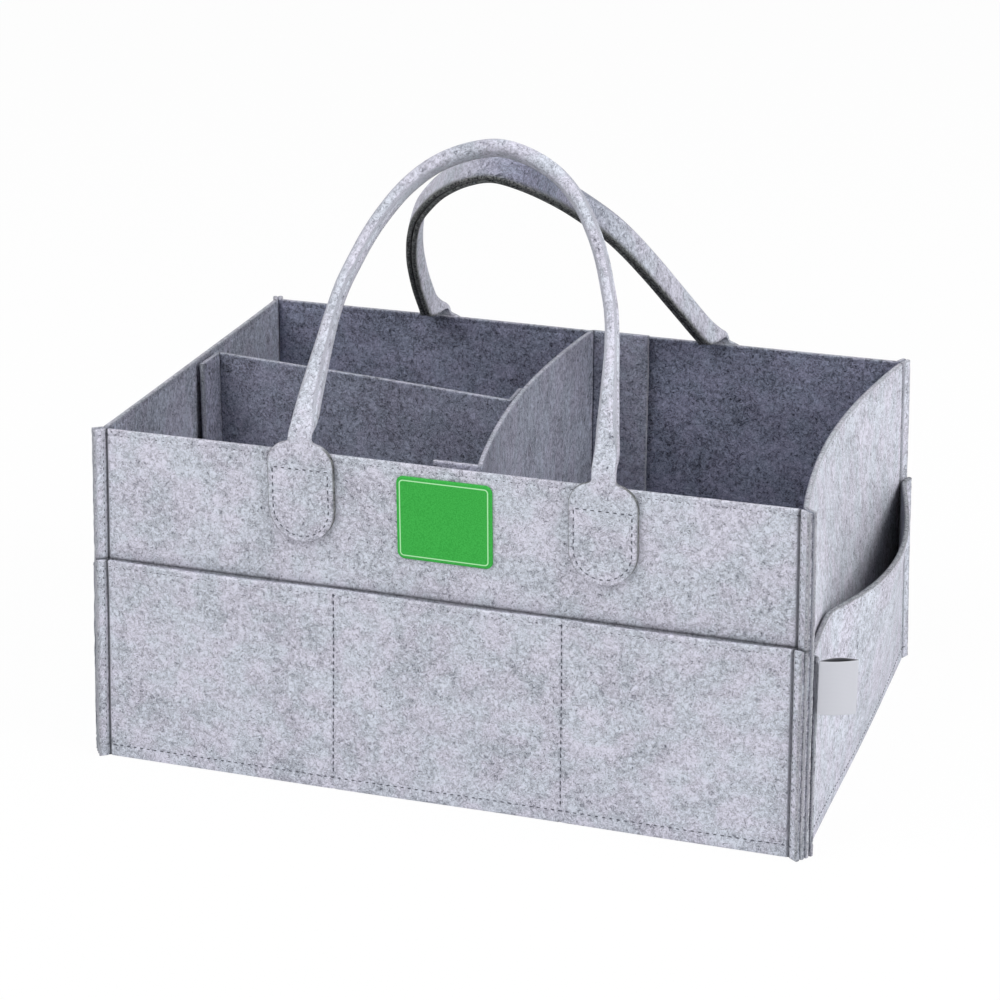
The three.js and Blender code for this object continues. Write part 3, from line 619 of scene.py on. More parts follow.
def panel(side_name, offset, top, extra):
    """Middle surface of a panel of one side, as a function of s and v, with its two lengths
    and the places of its corners. extra(share, level) is its distance from the flat."""
    side = SIDES[side_name]
    insets = [offset * np.tan(turn / 2) for turn in side["turns"]]
    fins = [SEAM_MARGIN - inset for inset in insets]
    height = float(np.max(top(np.array([0.0, 1.0]))))
    flat = float(sum(side["run"](np.array(height / 2), end) for end in (-1, 1)) - sum(insets))
    length = fins[0] + flat + fins[1]

    def flat_point(share, z, level):
        first = insets[0] - side["run"](z, -1)
        last = side["run"](z, 1) - insets[1]
        q = side["out"](z, share) + offset + extra(share, level)
        return side["place"](mix(first, last, share), q, z)

    def line(s, level):
        share = np.clip((s - fins[0]) / flat, 0, 1)
        back = np.clip(1 - s / fins[0], 0, 1)[..., None]
        ahead = np.clip((s - fins[0] - flat) / fins[1], 0, 1)[..., None]
        z = level * top(share)
        first_step = margin_point(side, -1, SEAM_MARGIN, offset, z) - flat_point(0 * share, z, level)
        last_step = margin_point(side, 1, SEAM_MARGIN, offset, z) - flat_point(0 * share + 1, z, level)
        return flat_point(share, z, level) + back * first_step + ahead * last_step

    def surface(s, v):
        reach = np.clip(np.minimum(s, length - s), 0, BEND)
        return sum(line(s + shift * reach, v / height) for shift in EASE_SHIFTS) / len(EASE_SHIFTS)

    return surface, length, height, (fins[0], fins[0] + flat)


# %% [markdown]
# The end walls are drawn in by the handles' pull, and the end pockets gape: they
# follow the wall near the front and stand off it behind the middle, where a hand
# or a bottle goes in. The long pockets are held flat by two upright rows.

# %% How far the end walls bow and the pockets stand off
BOW_START = (BASE_TOP + GAP) / REAR_HEIGHT
GAPE_START, GAPE_SKEW, GAPE_SOFTNESS = 0.231, 0.815, 0.03
LONG_RIM_LIFT, END_RIM_LIFT = 1.6, 0.4


def wall_bow(depth):
    """Inward bow: depth times a sine along the wall times a rising power of the height."""

    def extra(share, level):
        rise = np.clip((level - BOW_START) / (1 - BOW_START), 0, None)
        return -depth * np.sin(np.pi * np.clip(share, 0, 1)) ** 0.85 * rise**1.3

    return extra


def pocket_gape(depth):
    """The wall's own bow, plus a skewed sine that starts past the front corner and grows with the height."""
    wall = wall_bow(depth)
    wall_level = END_POCKET_HEIGHT / REAR_HEIGHT
    peak = GAPE_START + (1 - GAPE_START) * 0.5 ** (1 / GAPE_SKEW)
    reach = END_POCKET_BULGE - wall(peak, wall_level)

    def extra(share, level):
        within = (share - GAPE_START) / (1 - GAPE_START)
        within = np.clip((within + np.hypot(within, GAPE_SOFTNESS)) / 2, 0, 1)
        gape = reach * np.sin(np.pi * within**GAPE_SKEW) * level
        return wall(share, level * wall_level) + gape + END_RIM_LIFT * level**6

    return extra


def pocket_slack(row_shares):
    """A shallow swell between each pair of sewn rows."""
    ends = np.array([0, *row_shares, 1])

    def extra(share, level):
        cell = np.clip(np.searchsorted(ends, share, side="right") - 1, 0, len(ends) - 2)
        within = (share - ends[cell]) / (ends[cell + 1] - ends[cell])
        return LONG_POCKET_SLACK * np.sin(np.pi * np.clip(within, 0, 1)) * level + LONG_RIM_LIFT * level**6

    return extra


def flat_extra(share, level):
    """Nothing: the sheet follows the side's own plane."""
    return 0.0 * (share + level)


LEFT_GAPE = pocket_gape(END_BOWS[-1])
EXTRAS = {
    "front": (flat_extra, pocket_slack(POCKET_ROW_SHARES)),
    "rear": (flat_extra, pocket_slack(REAR_ROW_SHARES)),
    "right": (wall_bow(END_BOWS[1]), pocket_gape(END_BOWS[1])),
    "left": (wall_bow(END_BOWS[-1]), lambda share, level: LEFT_GAPE(1 - share, level)),
}

# %% Walls and pockets
RIM_ROW = 3.0
RAW_ENDS = 0.4
POCKET_SHADOW = 0.5
PRESSED_BELOW = 0.2
WALLS, POCKETS = {}, {}


def side_sheet(name, kind, shape, rows=(), columns=(), **options):
    """The felt of one side's wall or pocket, creased at its corners and sewn below its rim."""
    surface, length, height, corners = shape
    sheet = felt_sheet(
        f"{name}_{kind}_felt", surface, length, height, rows=(*rows, height - RIM_ROW),
        columns=(*corners, *columns), pinches=[(place, 1) for place in corners], raw=RAW_ENDS, **options,
    )
    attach(sheet, "shell")
    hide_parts(f"{name}_{kind}")
    print(name, kind, round(length), "x", round(height), "mm of felt")


for name, side in SIDES.items():
    pocket_top, row_shares = side["pocket"], side["rows"]
    wall = WALLS[name] = panel(name, WALL_MIDDLE, side["top"], EXTRAS[name][0])
    # Painted shade on the wall's inner face and the pocket's back face; a painted shadow line on the wall
    # along the long pockets' rims, and painted shadow on the end pockets' backs.
    side_sheet(
        name, "wall", wall, back=side["inside"], rim_raw=side["cores"][0], fins=wall[3][0] - 1,
        pressed=(pocket_top - PRESSED_BELOW,) if row_shares else (),
    )
    pocket = panel(name, POCKET_MIDDLE, lambda share, top=pocket_top: top + 0 * share, EXTRAS[name][1])
    POCKETS[name] = pocket
    side_sheet(
        name, "pocket", pocket, (BASE_SEAM_HEIGHT,), [mix(*pocket[3], share) for share in row_shares],
        back=1.0, rim_raw=side["cores"][1], unlit=0.0 if row_shares else POCKET_SHADOW,
    )

# %% [markdown]
# ## The base
#
# The floor of the box is a flat panel with its margins turned down and sewn
# inside the walls, so the caddy stands on the lower edges of its felt. A rounded
# rectangle is carried along the profile of that shallow tray, from the middle of
# the top, over the bend, down the margin and back underneath.

# %% Rounded rectangles and the base
def rounded_ring(left, right, half_height, radius, corner_steps=6, edge_steps=10):
    """Plan points of a rectangle from left to right with round corners, counter-clockwise."""
    radius = min(radius, half_height)
    turn = np.linspace(0, np.pi / 2, corner_steps)
    centres = [
        (right - radius, -half_height + radius, -np.pi / 2),
        (right - radius, half_height - radius, 0),
        (left + radius, half_height - radius, np.pi / 2),
        (left + radius, -half_height + radius, np.pi),
    ]
    arcs = [
        zipped(x + radius * np.cos(turn + start), y + radius * np.sin(turn + start))
        for x, y, start in centres
    ]
    ring = []
    for arc, following in zip(arcs, arcs[1:] + arcs[:1]):
        share = np.linspace(0, 1, edge_steps + 1)[1:-1, None]
        ring += [arc, mix(arc[-1], following[0], share)]
    return np.concatenate(ring)


def tray(name, ring_at, profile, place, look, inside=None):
    """Closed mesh of rounded rectangles along a profile of (inset, rise), with a flat face at both ends.
    inside says how far painted shade darkens each ring."""
    rings = np.stack([place(ring_at(inset), rise) for inset, rise in profile])
    index = np.arange(rings[..., 0].size).reshape(rings.shape[:2])
    faces = [ring_quads(index)[:, ::-1], index[:1], index[-1:, ::-1]]
    values = None if inside is None else {"inside": np.repeat(inside, rings.shape[1])}
    piece = make_mesh(name, rings, faces, look, values)
    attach(piece, "shell")
    print(name, len(rings), "rings")
    return piece


BASE_PROFILE = [
    (118, 0), (60, 0), (20, 0), (6, 0), (2.0, -0.15), (0.9, -0.7), (0.25, -1.6), (0, -2.8), (0, -6),
    (0, -8.8), (0.35, -9.5), (1.4, -9.8), (2.4, -9.5), (2.8, -8.8), (2.8, -6), (2.8, -3.4),
    (3.2, -2.95), (4.2, -2.8), (20, -2.8), (60, -2.8), (118, -2.8),
]


BASE_CORNER, LEAST_CORNER = 1.5, 0.5


def base_ring(inset):
    """The rectangle inside the walls, smaller by the inset all round."""
    reach = GAP / 2 + inset
    left, right = (half_width(BASE_SEAM_HEIGHT, end, 0.5) - reach for end in (-1, 1))
    return rounded_ring(-left, right, HALF_DEPTH - reach, max(BASE_CORNER - inset, LEAST_CORNER))


def on_base(ring, rise):
    """The ring laid flat at a rise over the base's top."""
    return zipped(*ring.T, BASE_TOP + rise)


# Painted shade on the base's top, which lies inside the box; none on the rings below it.
base_top_shade = [float(rise > -0.5) for _, rise in BASE_PROFILE]
base = tray("base_felt", base_ring, BASE_PROFILE, on_base, FELT_LOOK, np.array(base_top_shade))
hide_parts("base_panel")

# %% [markdown]
# ## Seams of the box
#
# Each row of stitches lies on the felt's own face: the seam's line is given in
# the sheet's two parameters, and the sheet says where that is and which way is
# out. The rows stand close to the corners, along the base, up between the
# pockets, and below every cut rim.

# %% Rows on the walls and pockets
def row_on(surface, s, v, face=1, sunk=0.3):
    """Seam line on the front (1) or back (-1) face of a sheet, sunk a little way into it."""
    points, out = face_points(surface, *np.broadcast_arrays(s, v), face * (FELT / 2 - sunk))
    return points, out * face


ALONG = np.linspace(0, 1, 160)
RIM_SUNK, COLUMN_SUNK = 0.54, 0.4
ROW_END, BASE_ROW_END = 2.0, 3.0
COLUMN_START, COLUMN_STOP = 2.5, 1.5


def rim_row(shape, start, end, face=1):
    """Seam line below the rim of a side's sheet, between two places along it."""
    surface, _, height, _ = shape
    return row_on(surface, mix(start + ROW_END, end - ROW_END, ALONG), height - RIM_ROW, face, RIM_SUNK)


for name in SIDES:
    wall, pocket = WALLS[name], POCKETS[name]
    surface, length = pocket[:2]
    sew(f"{name}_base_thread", [
        row_on(surface, mix(BASE_ROW_END, length - BASE_ROW_END, ALONG), BASE_SEAM_HEIGHT)
    ])
    sew(f"{name}_pocket_rim", [rim_row(pocket, 0, length)])
    sew(f"{name}_wall_rim", [rim_row(wall, 0, wall[1]), rim_row(wall, *wall[3], face=-1)])

CORNER_ROWS = {
    "front_left_corner_thread": ("front", 0),
    "front_right_corner_thread": ("front", 1),
    "rear_right_corner_thread": ("rear", 0),
    "rear_left_corner_thread": ("rear", 1),
}
CORNER_CLEARANCE = 2.2
for node, (name, end) in CORNER_ROWS.items():
    rows, low = [], BASE_SEAM_HEIGHT
    for surface, _, height, corners in (POCKETS[name], WALLS[name]):
        place = corners[end] + (-1, 1)[end] * CORNER_CLEARANCE
        rows.append(row_on(surface, place, mix(low + ROW_END, height - RIM_ROW - 1, ALONG)))
        low = height
    sew(node, rows)

ROW_NODES = {
    "front": ("front_pocket_left_row", "front_pocket_right_row"),
    "rear": ("rear_pocket_right_row", "rear_pocket_left_row"),
}
for name, nodes in ROW_NODES.items():
    surface, _, height, corners = POCKETS[name]
    up = mix(BASE_SEAM_HEIGHT + COLUMN_START, height - COLUMN_STOP, ALONG)
    for node, share in zip(nodes, SIDES[name]["rows"]):
        sew(node, [row_on(surface, mix(*corners, share), up, sunk=COLUMN_SUNK)])
print("rows of stitches sewn on", len(SIDES), "sides")

# %% [markdown]
# ## Handles
#
# A handle is one strip of felt. It is folded in half along its length, so its
# back shows two raw edges side by side, and it opens flat at each foot into a
# rounded tongue that is sewn to the wall. The whole strip is one surface here: a
# closed section is carried from the tip of one tongue, over the arch, to the tip
# of the other. The section's size and shape change along the way, and all rings
# are worked out at once.

# %% Shape of a handle
STRAP_DEPTH, STRAP_WIDTH, STRAP_RAW_WIDTH = 15.5, 7.2, 5.8
NECK_WIDTH = 12.2
NOTCH_DEPTH = 3.4
TONGUE_WIDTH, TONGUE_BODY, SHOULDER_RADIUS = 36.0, 53.5, 12.0
NECK_TOP_DROP = FELT / 2 + GAP
HINGE_OUT = HALF_DEPTH + GAP / 2 + FELT + GAP + FELT / 2

FRONT_ARCH_SHARES = [
    [1, 0], [0.99, 0.1], [0.973, 0.19], [0.95, 0.3], [0.925, 0.41], [0.888, 0.51], [0.83, 0.6],
    [0.77, 0.68], [0.69, 0.76], [0.57, 0.85], [0.4, 0.93], [0.2, 0.98], [0, 1],
]
REAR_ARCH_SHARES = [
    [1, 0], [0.998, 0.06], [0.965, 0.153], [0.93, 0.245], [0.89, 0.337], [0.846, 0.43], [0.795, 0.52],
    [0.733, 0.613], [0.653, 0.705], [0.53, 0.8], [0.38, 0.89], [0.175, 0.969], [0, 1],
]
# Middle and reach along X of the painted shade and painted shadow on each arch
ARCH_SHADE_X, ARCH_SHADE_REACH = 6.0, 30.0
HANDLES = {
    "front": {
        "shares": FRONT_ARCH_SHARES, "span": 160.0, "height": 160.0, "sway": 0.0, "lean": 30.5,
        "hinge": FRONT_HEIGHT + 8, "offset": 7.2, "edge_turn": 0.25, "way": 1, "fold": 24.0, "flare": 75.0,
        "necks": (0.8, 3.8), "arch_shade_share": 0.05, "arch_shadow_share": 0.0,
    },
    "rear": {
        "shares": REAR_ARCH_SHARES, "span": 167.0, "height": 171.5, "sway": 9.0, "lean": 42.4,
        "hinge": REAR_HEIGHT + 3, "offset": 4.5, "edge_turn": -0.04, "way": -1, "fold": 16.0, "flare": 20.0,
        "necks": (0.6, 0.6), "arch_shade_share": 0.95, "arch_shadow_share": 0.24,
    },
}


def arch_line(spec, count):
    """Centre line of a strap: a smooth curve through points that are shares of the half span and
    the height. Each stretch is a cubic whose end slopes come from the spacing of its neighbours."""
    shares = np.array(spec["shares"], float)
    left = zipped(-shares[:, 0] * spec["span"] / 2, shares[:, 1] * spec["height"])
    knots = np.concatenate([left, (left[:-1] * [-1, 1])[::-1]])
    knots[:, 0] += spec["sway"] * (1 - (1 - knots[:, 1] / spec["height"]) ** 3)
    padded = np.concatenate([2 * knots[:1] - knots[1:2], knots, 2 * knots[-1:] - knots[-2:-1]])
    gaps = np.sqrt(np.linalg.norm(np.diff(padded, axis=0), axis=1))[:, None]
    rates = np.diff(padded, axis=0) / gaps
    wide = (padded[2:] - padded[:-2]) / (gaps[1:] + gaps[:-1])
    slopes = rates[:-1] - wide + rates[1:]
    start, end, span = knots[:-1], knots[1:], gaps[1:-1]
    t = np.linspace(0, 1, 24, endpoint=False)[:, None, None]
    first, last = slopes[:-1] * span, slopes[1:] * span
    curve = (
        start * (2 * t**3 - 3 * t**2 + 1) + first * (t**3 - 2 * t**2 + t)
        + end * (3 * t**2 - 2 * t**3) + last * (t**3 - t**2)
    )
    dense = np.concatenate([curve.transpose(1, 0, 2).reshape(-1, 2), knots[-1:]])
    total, place_at = along_line(dense)
    at = np.linspace(0, total, count)
    return place_at(at), at, total


def tongue_heights(neck_length):
    """Height of a tongue's shoulders, and of the middle of its round foot, from the hinge."""
    shoulder = -NECK_TOP_DROP - neck_length
    return shoulder, shoulder - TONGUE_BODY + TONGUE_WIDTH / 2


def tongue_rings(neck_length):
    """Half widths and heights of a tongue from its neck at the hinge down to its tip."""
    shoulder_top, foot_centre = tongue_heights(neck_length)
    fillet = min(2.4, 0.9 * -shoulder_top)
    turn = np.radians([0, 20, 40, 60, 75])
    neck = zipped(NECK_WIDTH / 2 + fillet * (1 - np.cos(turn)), shoulder_top + fillet * (1 - np.sin(turn)))
    turn = np.radians([14, 20, 28, 37, 47, 58, 70, 82, 90])
    inner = TONGUE_WIDTH / 2 - SHOULDER_RADIUS
    shoulder = zipped(
        inner + SHOULDER_RADIUS * np.sin(turn), shoulder_top - SHOULDER_RADIUS * (1 - np.cos(turn))
    )
    sides = zipped(TONGUE_WIDTH / 2, np.linspace(shoulder[-1, 1], foot_centre, 10)[1:-1])
    turn = np.radians([0, 10, 20, 30, 40, 50, 60, 68, 75, 80, 84, 87, 89, 90])
    foot = zipped(TONGUE_WIDTH / 2 * np.cos(turn), foot_centre - TONGUE_WIDTH / 2 * np.sin(turn))
    return np.concatenate([neck, shoulder, sides, foot])


def strip_section(*sizes):
    """Closed section of the strip for every ring at once, as across and inward distances, (rings, points).
    The fold is half of a rounded box; the two raw edges are round lips with a cut between them. Also
    tells which points are cut edges: the lips where the strip is folded, the sides where it is flat."""
    width, raw_width, back, face, fold, boxy, notch, lip = (size[:, None] for size in sizes)
    turn = np.linspace(0, np.pi, 15)[None]
    cosine, sine = np.cos(turn), np.sin(turn)
    arc_a = -width / 2 * np.sign(cosine) * np.abs(cosine) ** boxy
    arc_d = face + fold * (1 - np.abs(sine) ** np.sqrt(boxy))
    share = np.array([[0.8, 0.55, 0.3, 0.1]])
    swell = 0.25 * np.sin(np.pi * share) * (notch > 0.5)
    side_a = mix(width / 2, raw_width / 2, share[:, ::-1]) + swell[:, ::-1]
    side_d = mix(face + fold, back, share[:, ::-1])
    open_half = 0.25 + 0 * width
    turn = np.linspace(0, np.pi, 6)[None]
    lip_a = mix(open_half, raw_width / 2, (1 + np.cos(turn)) / 2)
    lip_d = back + lip * np.sin(turn)
    cut_a = np.concatenate([open_half * 0.8, open_half * 0.4], 1)
    cut_d = np.concatenate([back - notch * 0.35, back - notch * 0.8], 1)
    side, lips, cut = zipped(side_a, side_d), zipped(lip_a, lip_d), zipped(cut_a, cut_d)
    other_side, other_lips, other_cut = (part[:, ::-1] * [-1, 1] for part in (side, lips, cut))
    arc, bottom = zipped(arc_a, arc_d), zipped(0 * notch, back - notch)
    section = np.concatenate([other_side, arc, side, lips, cut, bottom, other_cut, other_lips], 1)
    folded_cuts = np.repeat([0.0, 1.0], [4 + 15 + 4, 6 + 5 + 6])
    corner = [1.0, 0.8, 0.3]
    flat_cuts = np.concatenate([np.ones(4), corner, np.zeros(9), corner[::-1], np.ones(4), np.full(17, 0.5)])
    return section[..., 0], section[..., 1], folded_cuts, flat_cuts


def handle_points(spec):
    """All rings of a handle, (rings, points, 3), and how raw each point is."""
    strap_count = 170
    line, at, total = arch_line(spec, strap_count)
    tongues = [tongue_rings(neck_length) for neck_length in spec["necks"]]
    tongue_count = len(tongues[0])
    near = np.minimum(at, total - at)
    folded, narrowed = smooth(near / spec["fold"]), smooth(near / spec["flare"])

    def ends(value):
        return np.full(tongue_count, float(value))

    def joined(tongue_values, strap_values):
        return np.concatenate([tongue_values[::-1], strap_values, tongue_values])

    tip = tongues[0][:, 1] - tongues[0][-1, 1]
    thick = round_edge(np.minimum(tip, 5.0), 10.0)
    spread = np.maximum(2 * tongues[0][:, 0], 0.4)
    width = joined(spread, mix(NECK_WIDTH, STRAP_WIDTH, narrowed))
    raw_width = joined(spread, mix(NECK_WIDTH, STRAP_RAW_WIDTH, narrowed))
    back = joined(FELT / 2 * thick, mix(FELT / 2, STRAP_DEPTH - FELT / 2 - 0.4, folded))
    face = joined(-FELT / 2 * thick, np.full(strap_count, -FELT / 2))
    fold = joined(1.1 * thick, mix(1.1, STRAP_WIDTH / 2, folded))
    boxy = joined(ends(0.3), mix(0.3, 1.0, folded))
    notch = joined(ends(0), NOTCH_DEPTH * folded)
    lip = joined(ends(0), 0.55 * folded)
    a, d, lips, sides = strip_section(width, raw_width, back, face, fold, boxy, notch, lip)

    half_span = spec["span"] / 2
    feet = [zipped(end * half_span, tongue[:, 1]) for end, tongue in zip((-1, 1), tongues)]
    centre = np.concatenate([feet[0][::-1], line, feet[1]])
    slope = unit(np.gradient(line, axis=0))
    upright = np.where(np.arange(strap_count)[:, None] < strap_count / 2, [[0, 1]], [[0, -1]])
    slope = unit(mix(upright, slope, folded[:, None]))
    straight = np.repeat([[0.0, 1.0]], tongue_count, 0)
    tangent = np.concatenate([straight, slope, -straight])
    tangent = zipped(tangent[:, 0], 0.0, tangent[:, 1])
    opened = joined(ends(0), folded)
    inward = square_to(zipped(-spec["edge_turn"] * opened, 1.0, 0.0), tangent)
    across = np.cross(tangent, inward)
    centre = zipped(centre[:, 0], 0.0, centre[:, 1])
    local = centre[:, None] + across[:, None] * a[..., None] + inward[:, None] * d[..., None]

    lean = np.radians(spec["lean"]) * smooth((centre[:, 2] + 4) / 12)[:, None]
    x, y, z = np.moveaxis(local, -1, 0)
    leaned = zipped(x, y * np.cos(lean) + z * np.sin(lean), z * np.cos(lean) - y * np.sin(lean))
    placed = leaned + [0.0, -HINGE_OUT, spec["hinge"]]
    placed[..., 0] += spec["offset"]
    placed[..., :2] *= spec["way"]
    flat = [smooth(-tongue[:, 1] / 8) for tongue in tongues]
    flat = np.concatenate([flat[0][::-1], 0 * folded, flat[1]])
    return placed, lips * opened[:, None] + sides * flat[:, None]


# %% [markdown]
# The strap turns on the CAD model's hinge line, just above the tongues, but real
# felt has no hinge: it bends at the neck. So the whole strip is one mesh, and the
# strap's lean fades in over about twelve millimetres at the neck. The middle of
# each arch gets painted shade and painted shadow, a little on the front handle and
# most on the rear handle, which lies in the front handle's shade.

# %% Handles as single strips
for name, spec in HANDLES.items():
    rings, raw = handle_points(spec)
    index = np.arange(rings[..., 0].size).reshape(rings.shape[:2])
    quads = [ring_quads(index)[:, ::-1], ring_cap(index[0]), ring_cap(index[-1])[:, ::-1]]
    # Painted shade and painted shadow over the middle of the arch, strongest on the rear handle
    arch_shade_mask = np.exp(-(((rings[..., 0] - ARCH_SHADE_X) / ARCH_SHADE_REACH) ** 2))
    values = {"raw": raw, "inside": spec["arch_shade_share"] * arch_shade_mask, "crease": spec["arch_shadow_share"] * arch_shade_mask}
    strip = make_mesh(f"{name}_handle_felt", rings, quads, FELT_LOOK, values)
    out_y, hinge = -HINGE_OUT * spec["way"] * MM, spec["hinge"] * MM
    hinge - 2 * MM
    hinge + 5 * MM
    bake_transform(strip)
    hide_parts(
        f"{name}_handle_strap", f"{name}_handle_left_tongue", f"{name}_handle_right_tongue"
    )
    print(name, "handle:", len(rings), "rings")

# %% [markdown]
# Each tongue is sewn down by one closed row: straight across below the rim, then
# down the sides and round the foot. The thread goes through the wall, so the same
# row shows on the inside of the box.

# %% Rows on the tongues
TONGUE_ROW_INSET, TONGUE_ROW_DROP = 3.0, 14.0
TONGUE_SUNK, WALL_SUNK = 0.12, 0.3


def tongue_row(x, hinge, way, lift, neck_length):
    """Closed seam line of one tongue at x and its outward directions. lift is how far the line stands
    out from the tongue's middle, and is below 0 on the inside of the wall."""
    half = TONGUE_WIDTH / 2 - TONGUE_ROW_INSET
    shoulder, foot = tongue_heights(neck_length)
    top_z = shoulder - TONGUE_ROW_DROP
    turn = np.linspace(0, np.pi, 25)
    top = zipped(np.linspace(-half, half, 12), top_z)
    right = zipped(half, np.linspace(top_z, foot, 12)[1:-1])
    round_foot = zipped(half * np.cos(turn), foot - half * np.sin(turn))
    left = zipped(-half, np.linspace(foot, top_z, 12)[1:-1])
    line = np.concatenate([top, right, round_foot, left, top[:1]])
    out = np.repeat([[0.0, -np.sign(lift) * way, 0.0]], len(line), 0)
    return zipped(x + line[:, 0], -way * (HINGE_OUT + lift), hinge + line[:, 1]), out


TONGUE_LIFTS = (FELT / 2 - TONGUE_SUNK, -(HINGE_OUT - HALF_DEPTH - GAP / 2) + WALL_SUNK)
for name, spec in HANDLES.items():
    way = spec["way"]
    for side_name, end in (("left", -1), ("right", 1)):
        x = way * spec["offset"] + end * spec["span"] / 2
        neck_length = spec["necks"][(end * way + 1) // 2]
        rows = [tongue_row(x, spec["hinge"], way, lift, neck_length) for lift in TONGUE_LIFTS]
        sew(f"{name}_handle_{side_name}_tongue_thread", rows)
print("each tongue sewn by", len(TONGUE_LIFTS), "rows")

# %% [markdown]
# ## Dividers
#
# Two loose dividers stand inside. Each is a strip of felt on edge whose folded
# end flaps carry hook tape that clings to the felt they face. In plan a divider
# is a line with two bends, and its rim follows the slope of the box's rim.

# %% Plan lines of the dividers
TAPE_WIDTH, TAPE_HEIGHT, TAPE_DROP, TAPE_THICKNESS = 18.0, 120.0, 12.0, 1.2
WORN_TAPE = 0.6
FLAP_STAND_OFF = GAP / 2 - GAP - TAPE_THICKNESS - GAP - FELT / 2
CROSS_FLAP_Y = HALF_DEPTH + FLAP_STAND_OFF
CROSS_FRONT_PLACE, CROSS_REAR_PLACE, CROSS_BOW = 21.0, 7.0, 9.5
CROSS_FRONT_FLAP, CROSS_REAR_FLAP, CROSS_RISE = 25.0, 34.0, 2.0
LONG_LEFT_PLACE, LONG_RIGHT_PLACE, LONG_DROP = 19.5, -8.0, 1.0
LONG_LEFT_FLAP, LONG_RIGHT_FLAP = 24.0, 22.0
DIVIDER_BOTTOM = BASE_TOP + GAP
BESIDE = FELT + TAPE_THICKNESS + 2 * GAP


def cross_x(y):
    """Place of the cross divider's middle at a depth: a straight line with a shallow sine bow."""
    share = np.clip((y + CROSS_FLAP_Y) / (2 * CROSS_FLAP_Y), 0, 1)
    return mix(CROSS_FRONT_PLACE, CROSS_REAR_PLACE, share) - CROSS_BOW * np.sin(np.pi * share) ** 0.85


def beside_cross(y, distance):
    """Plan points at a distance to the left of the cross divider's middle."""
    tilt = np.arctan2(cross_x(y + FELT / 2) - cross_x(y - FELT / 2), FELT)
    return zipped(cross_x(y) - distance / np.cos(tilt), y)


def rim_at(y):
    """Height of the box's rim at a depth."""
    return rim_height((y + HALF_DEPTH) / (2 * HALF_DEPTH))


def upright_sheet(name, line, top, body, low, ease, **options):
    """A strip of felt on edge along a plan line (n, 2), its bends eased as the panels' are."""
    length, plan = along_line(line)
    height = float(np.max(top(line[:, 1])) - low)

    def surface(s, v):
        reach = np.clip(np.minimum(s, length - s), 0, ease)
        flat = sum(plan(s + shift * reach) for shift in EASE_SHIFTS) / len(EASE_SHIFTS)
        x, y = np.moveaxis(flat, -1, 0)
        return zipped(x, y, low + v / height * (top(y) - low))

    piece = felt_sheet(name, surface, length, height, **options)
    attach(piece, body)
    return piece, surface, length, height


deep = np.linspace(-CROSS_FLAP_Y, CROSS_FLAP_Y, 41)
cross_line = np.concatenate([
    [[cross_x(-CROSS_FLAP_Y) - CROSS_FRONT_FLAP, -CROSS_FLAP_Y]],
    zipped(cross_x(deep), deep),
    [[cross_x(CROSS_FLAP_Y) + CROSS_REAR_FLAP, CROSS_FLAP_Y]],
])
long_flap_end = LONG_LEFT_PLACE - LONG_LEFT_FLAP
long_flap_share = (long_flap_end + HALF_DEPTH) / (2 * HALF_DEPTH)
LONG_FLAP_X = -(half_width(FRONT_HEIGHT, -1, long_flap_share) + FLAP_STAND_OFF) + END_BOWS[-1]
long_line = np.concatenate([
    [[LONG_FLAP_X, long_flap_end], [LONG_FLAP_X, LONG_LEFT_PLACE]],
    beside_cross(LONG_RIGHT_PLACE + LONG_RIGHT_FLAP * np.linspace(0, 1, 9), BESIDE),
])

# %% Dividers and their edge rows
FLAP_ROW_END, FLAP_ROW_CLEARANCE, FLAP_SUNK = 4.0, 5.0, 0.42
# The last number is how strongly painted shade darkens both faces of a divider.
DIVIDERS = {
    "cross_divider": (cross_line, CROSS_RISE, (CROSS_FRONT_FLAP, CROSS_REAR_FLAP), -1, 0.62),
    "long_divider": (long_line, -LONG_DROP, (LONG_LEFT_FLAP, LONG_RIGHT_FLAP), 1, 0.85),
}
for body, (line, rise, flaps, hollow, shade) in DIVIDERS.items():
    sheet, surface, length, height = upright_sheet(
        f"{body}_felt", line, lambda y, rise=rise: rim_at(y) + rise, body, DIVIDER_BOTTOM, 2.0,
        front=shade, back=shade, step=(4.0, 6.0), raw=0.3, rim_raw=0.1,
        pinches=((flaps[0], hollow), (along_line(line)[0] - flaps[1], -hollow)),
    )
    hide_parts(body)
    low, high = height - TAPE_DROP - TAPE_HEIGHT, height - TAPE_DROP
    rows, up = [], np.linspace(low, high, 50)
    for start, end in (
        (FLAP_ROW_END, flaps[0] - FLAP_ROW_CLEARANCE),
        (length - flaps[1] + FLAP_ROW_CLEARANCE, length - FLAP_ROW_END),
    ):
        across = np.linspace(start, end, 12)
        rows += [
            row_on(surface, s, v, face, FLAP_SUNK)
            for face in (1, -1) for s, v in ((start, up), (end, up), (across, low), (across, high))
        ]
    sew(f"{body}_flap_rows", rows, body)
    print(body, round(length), "x", round(height), "mm of felt")

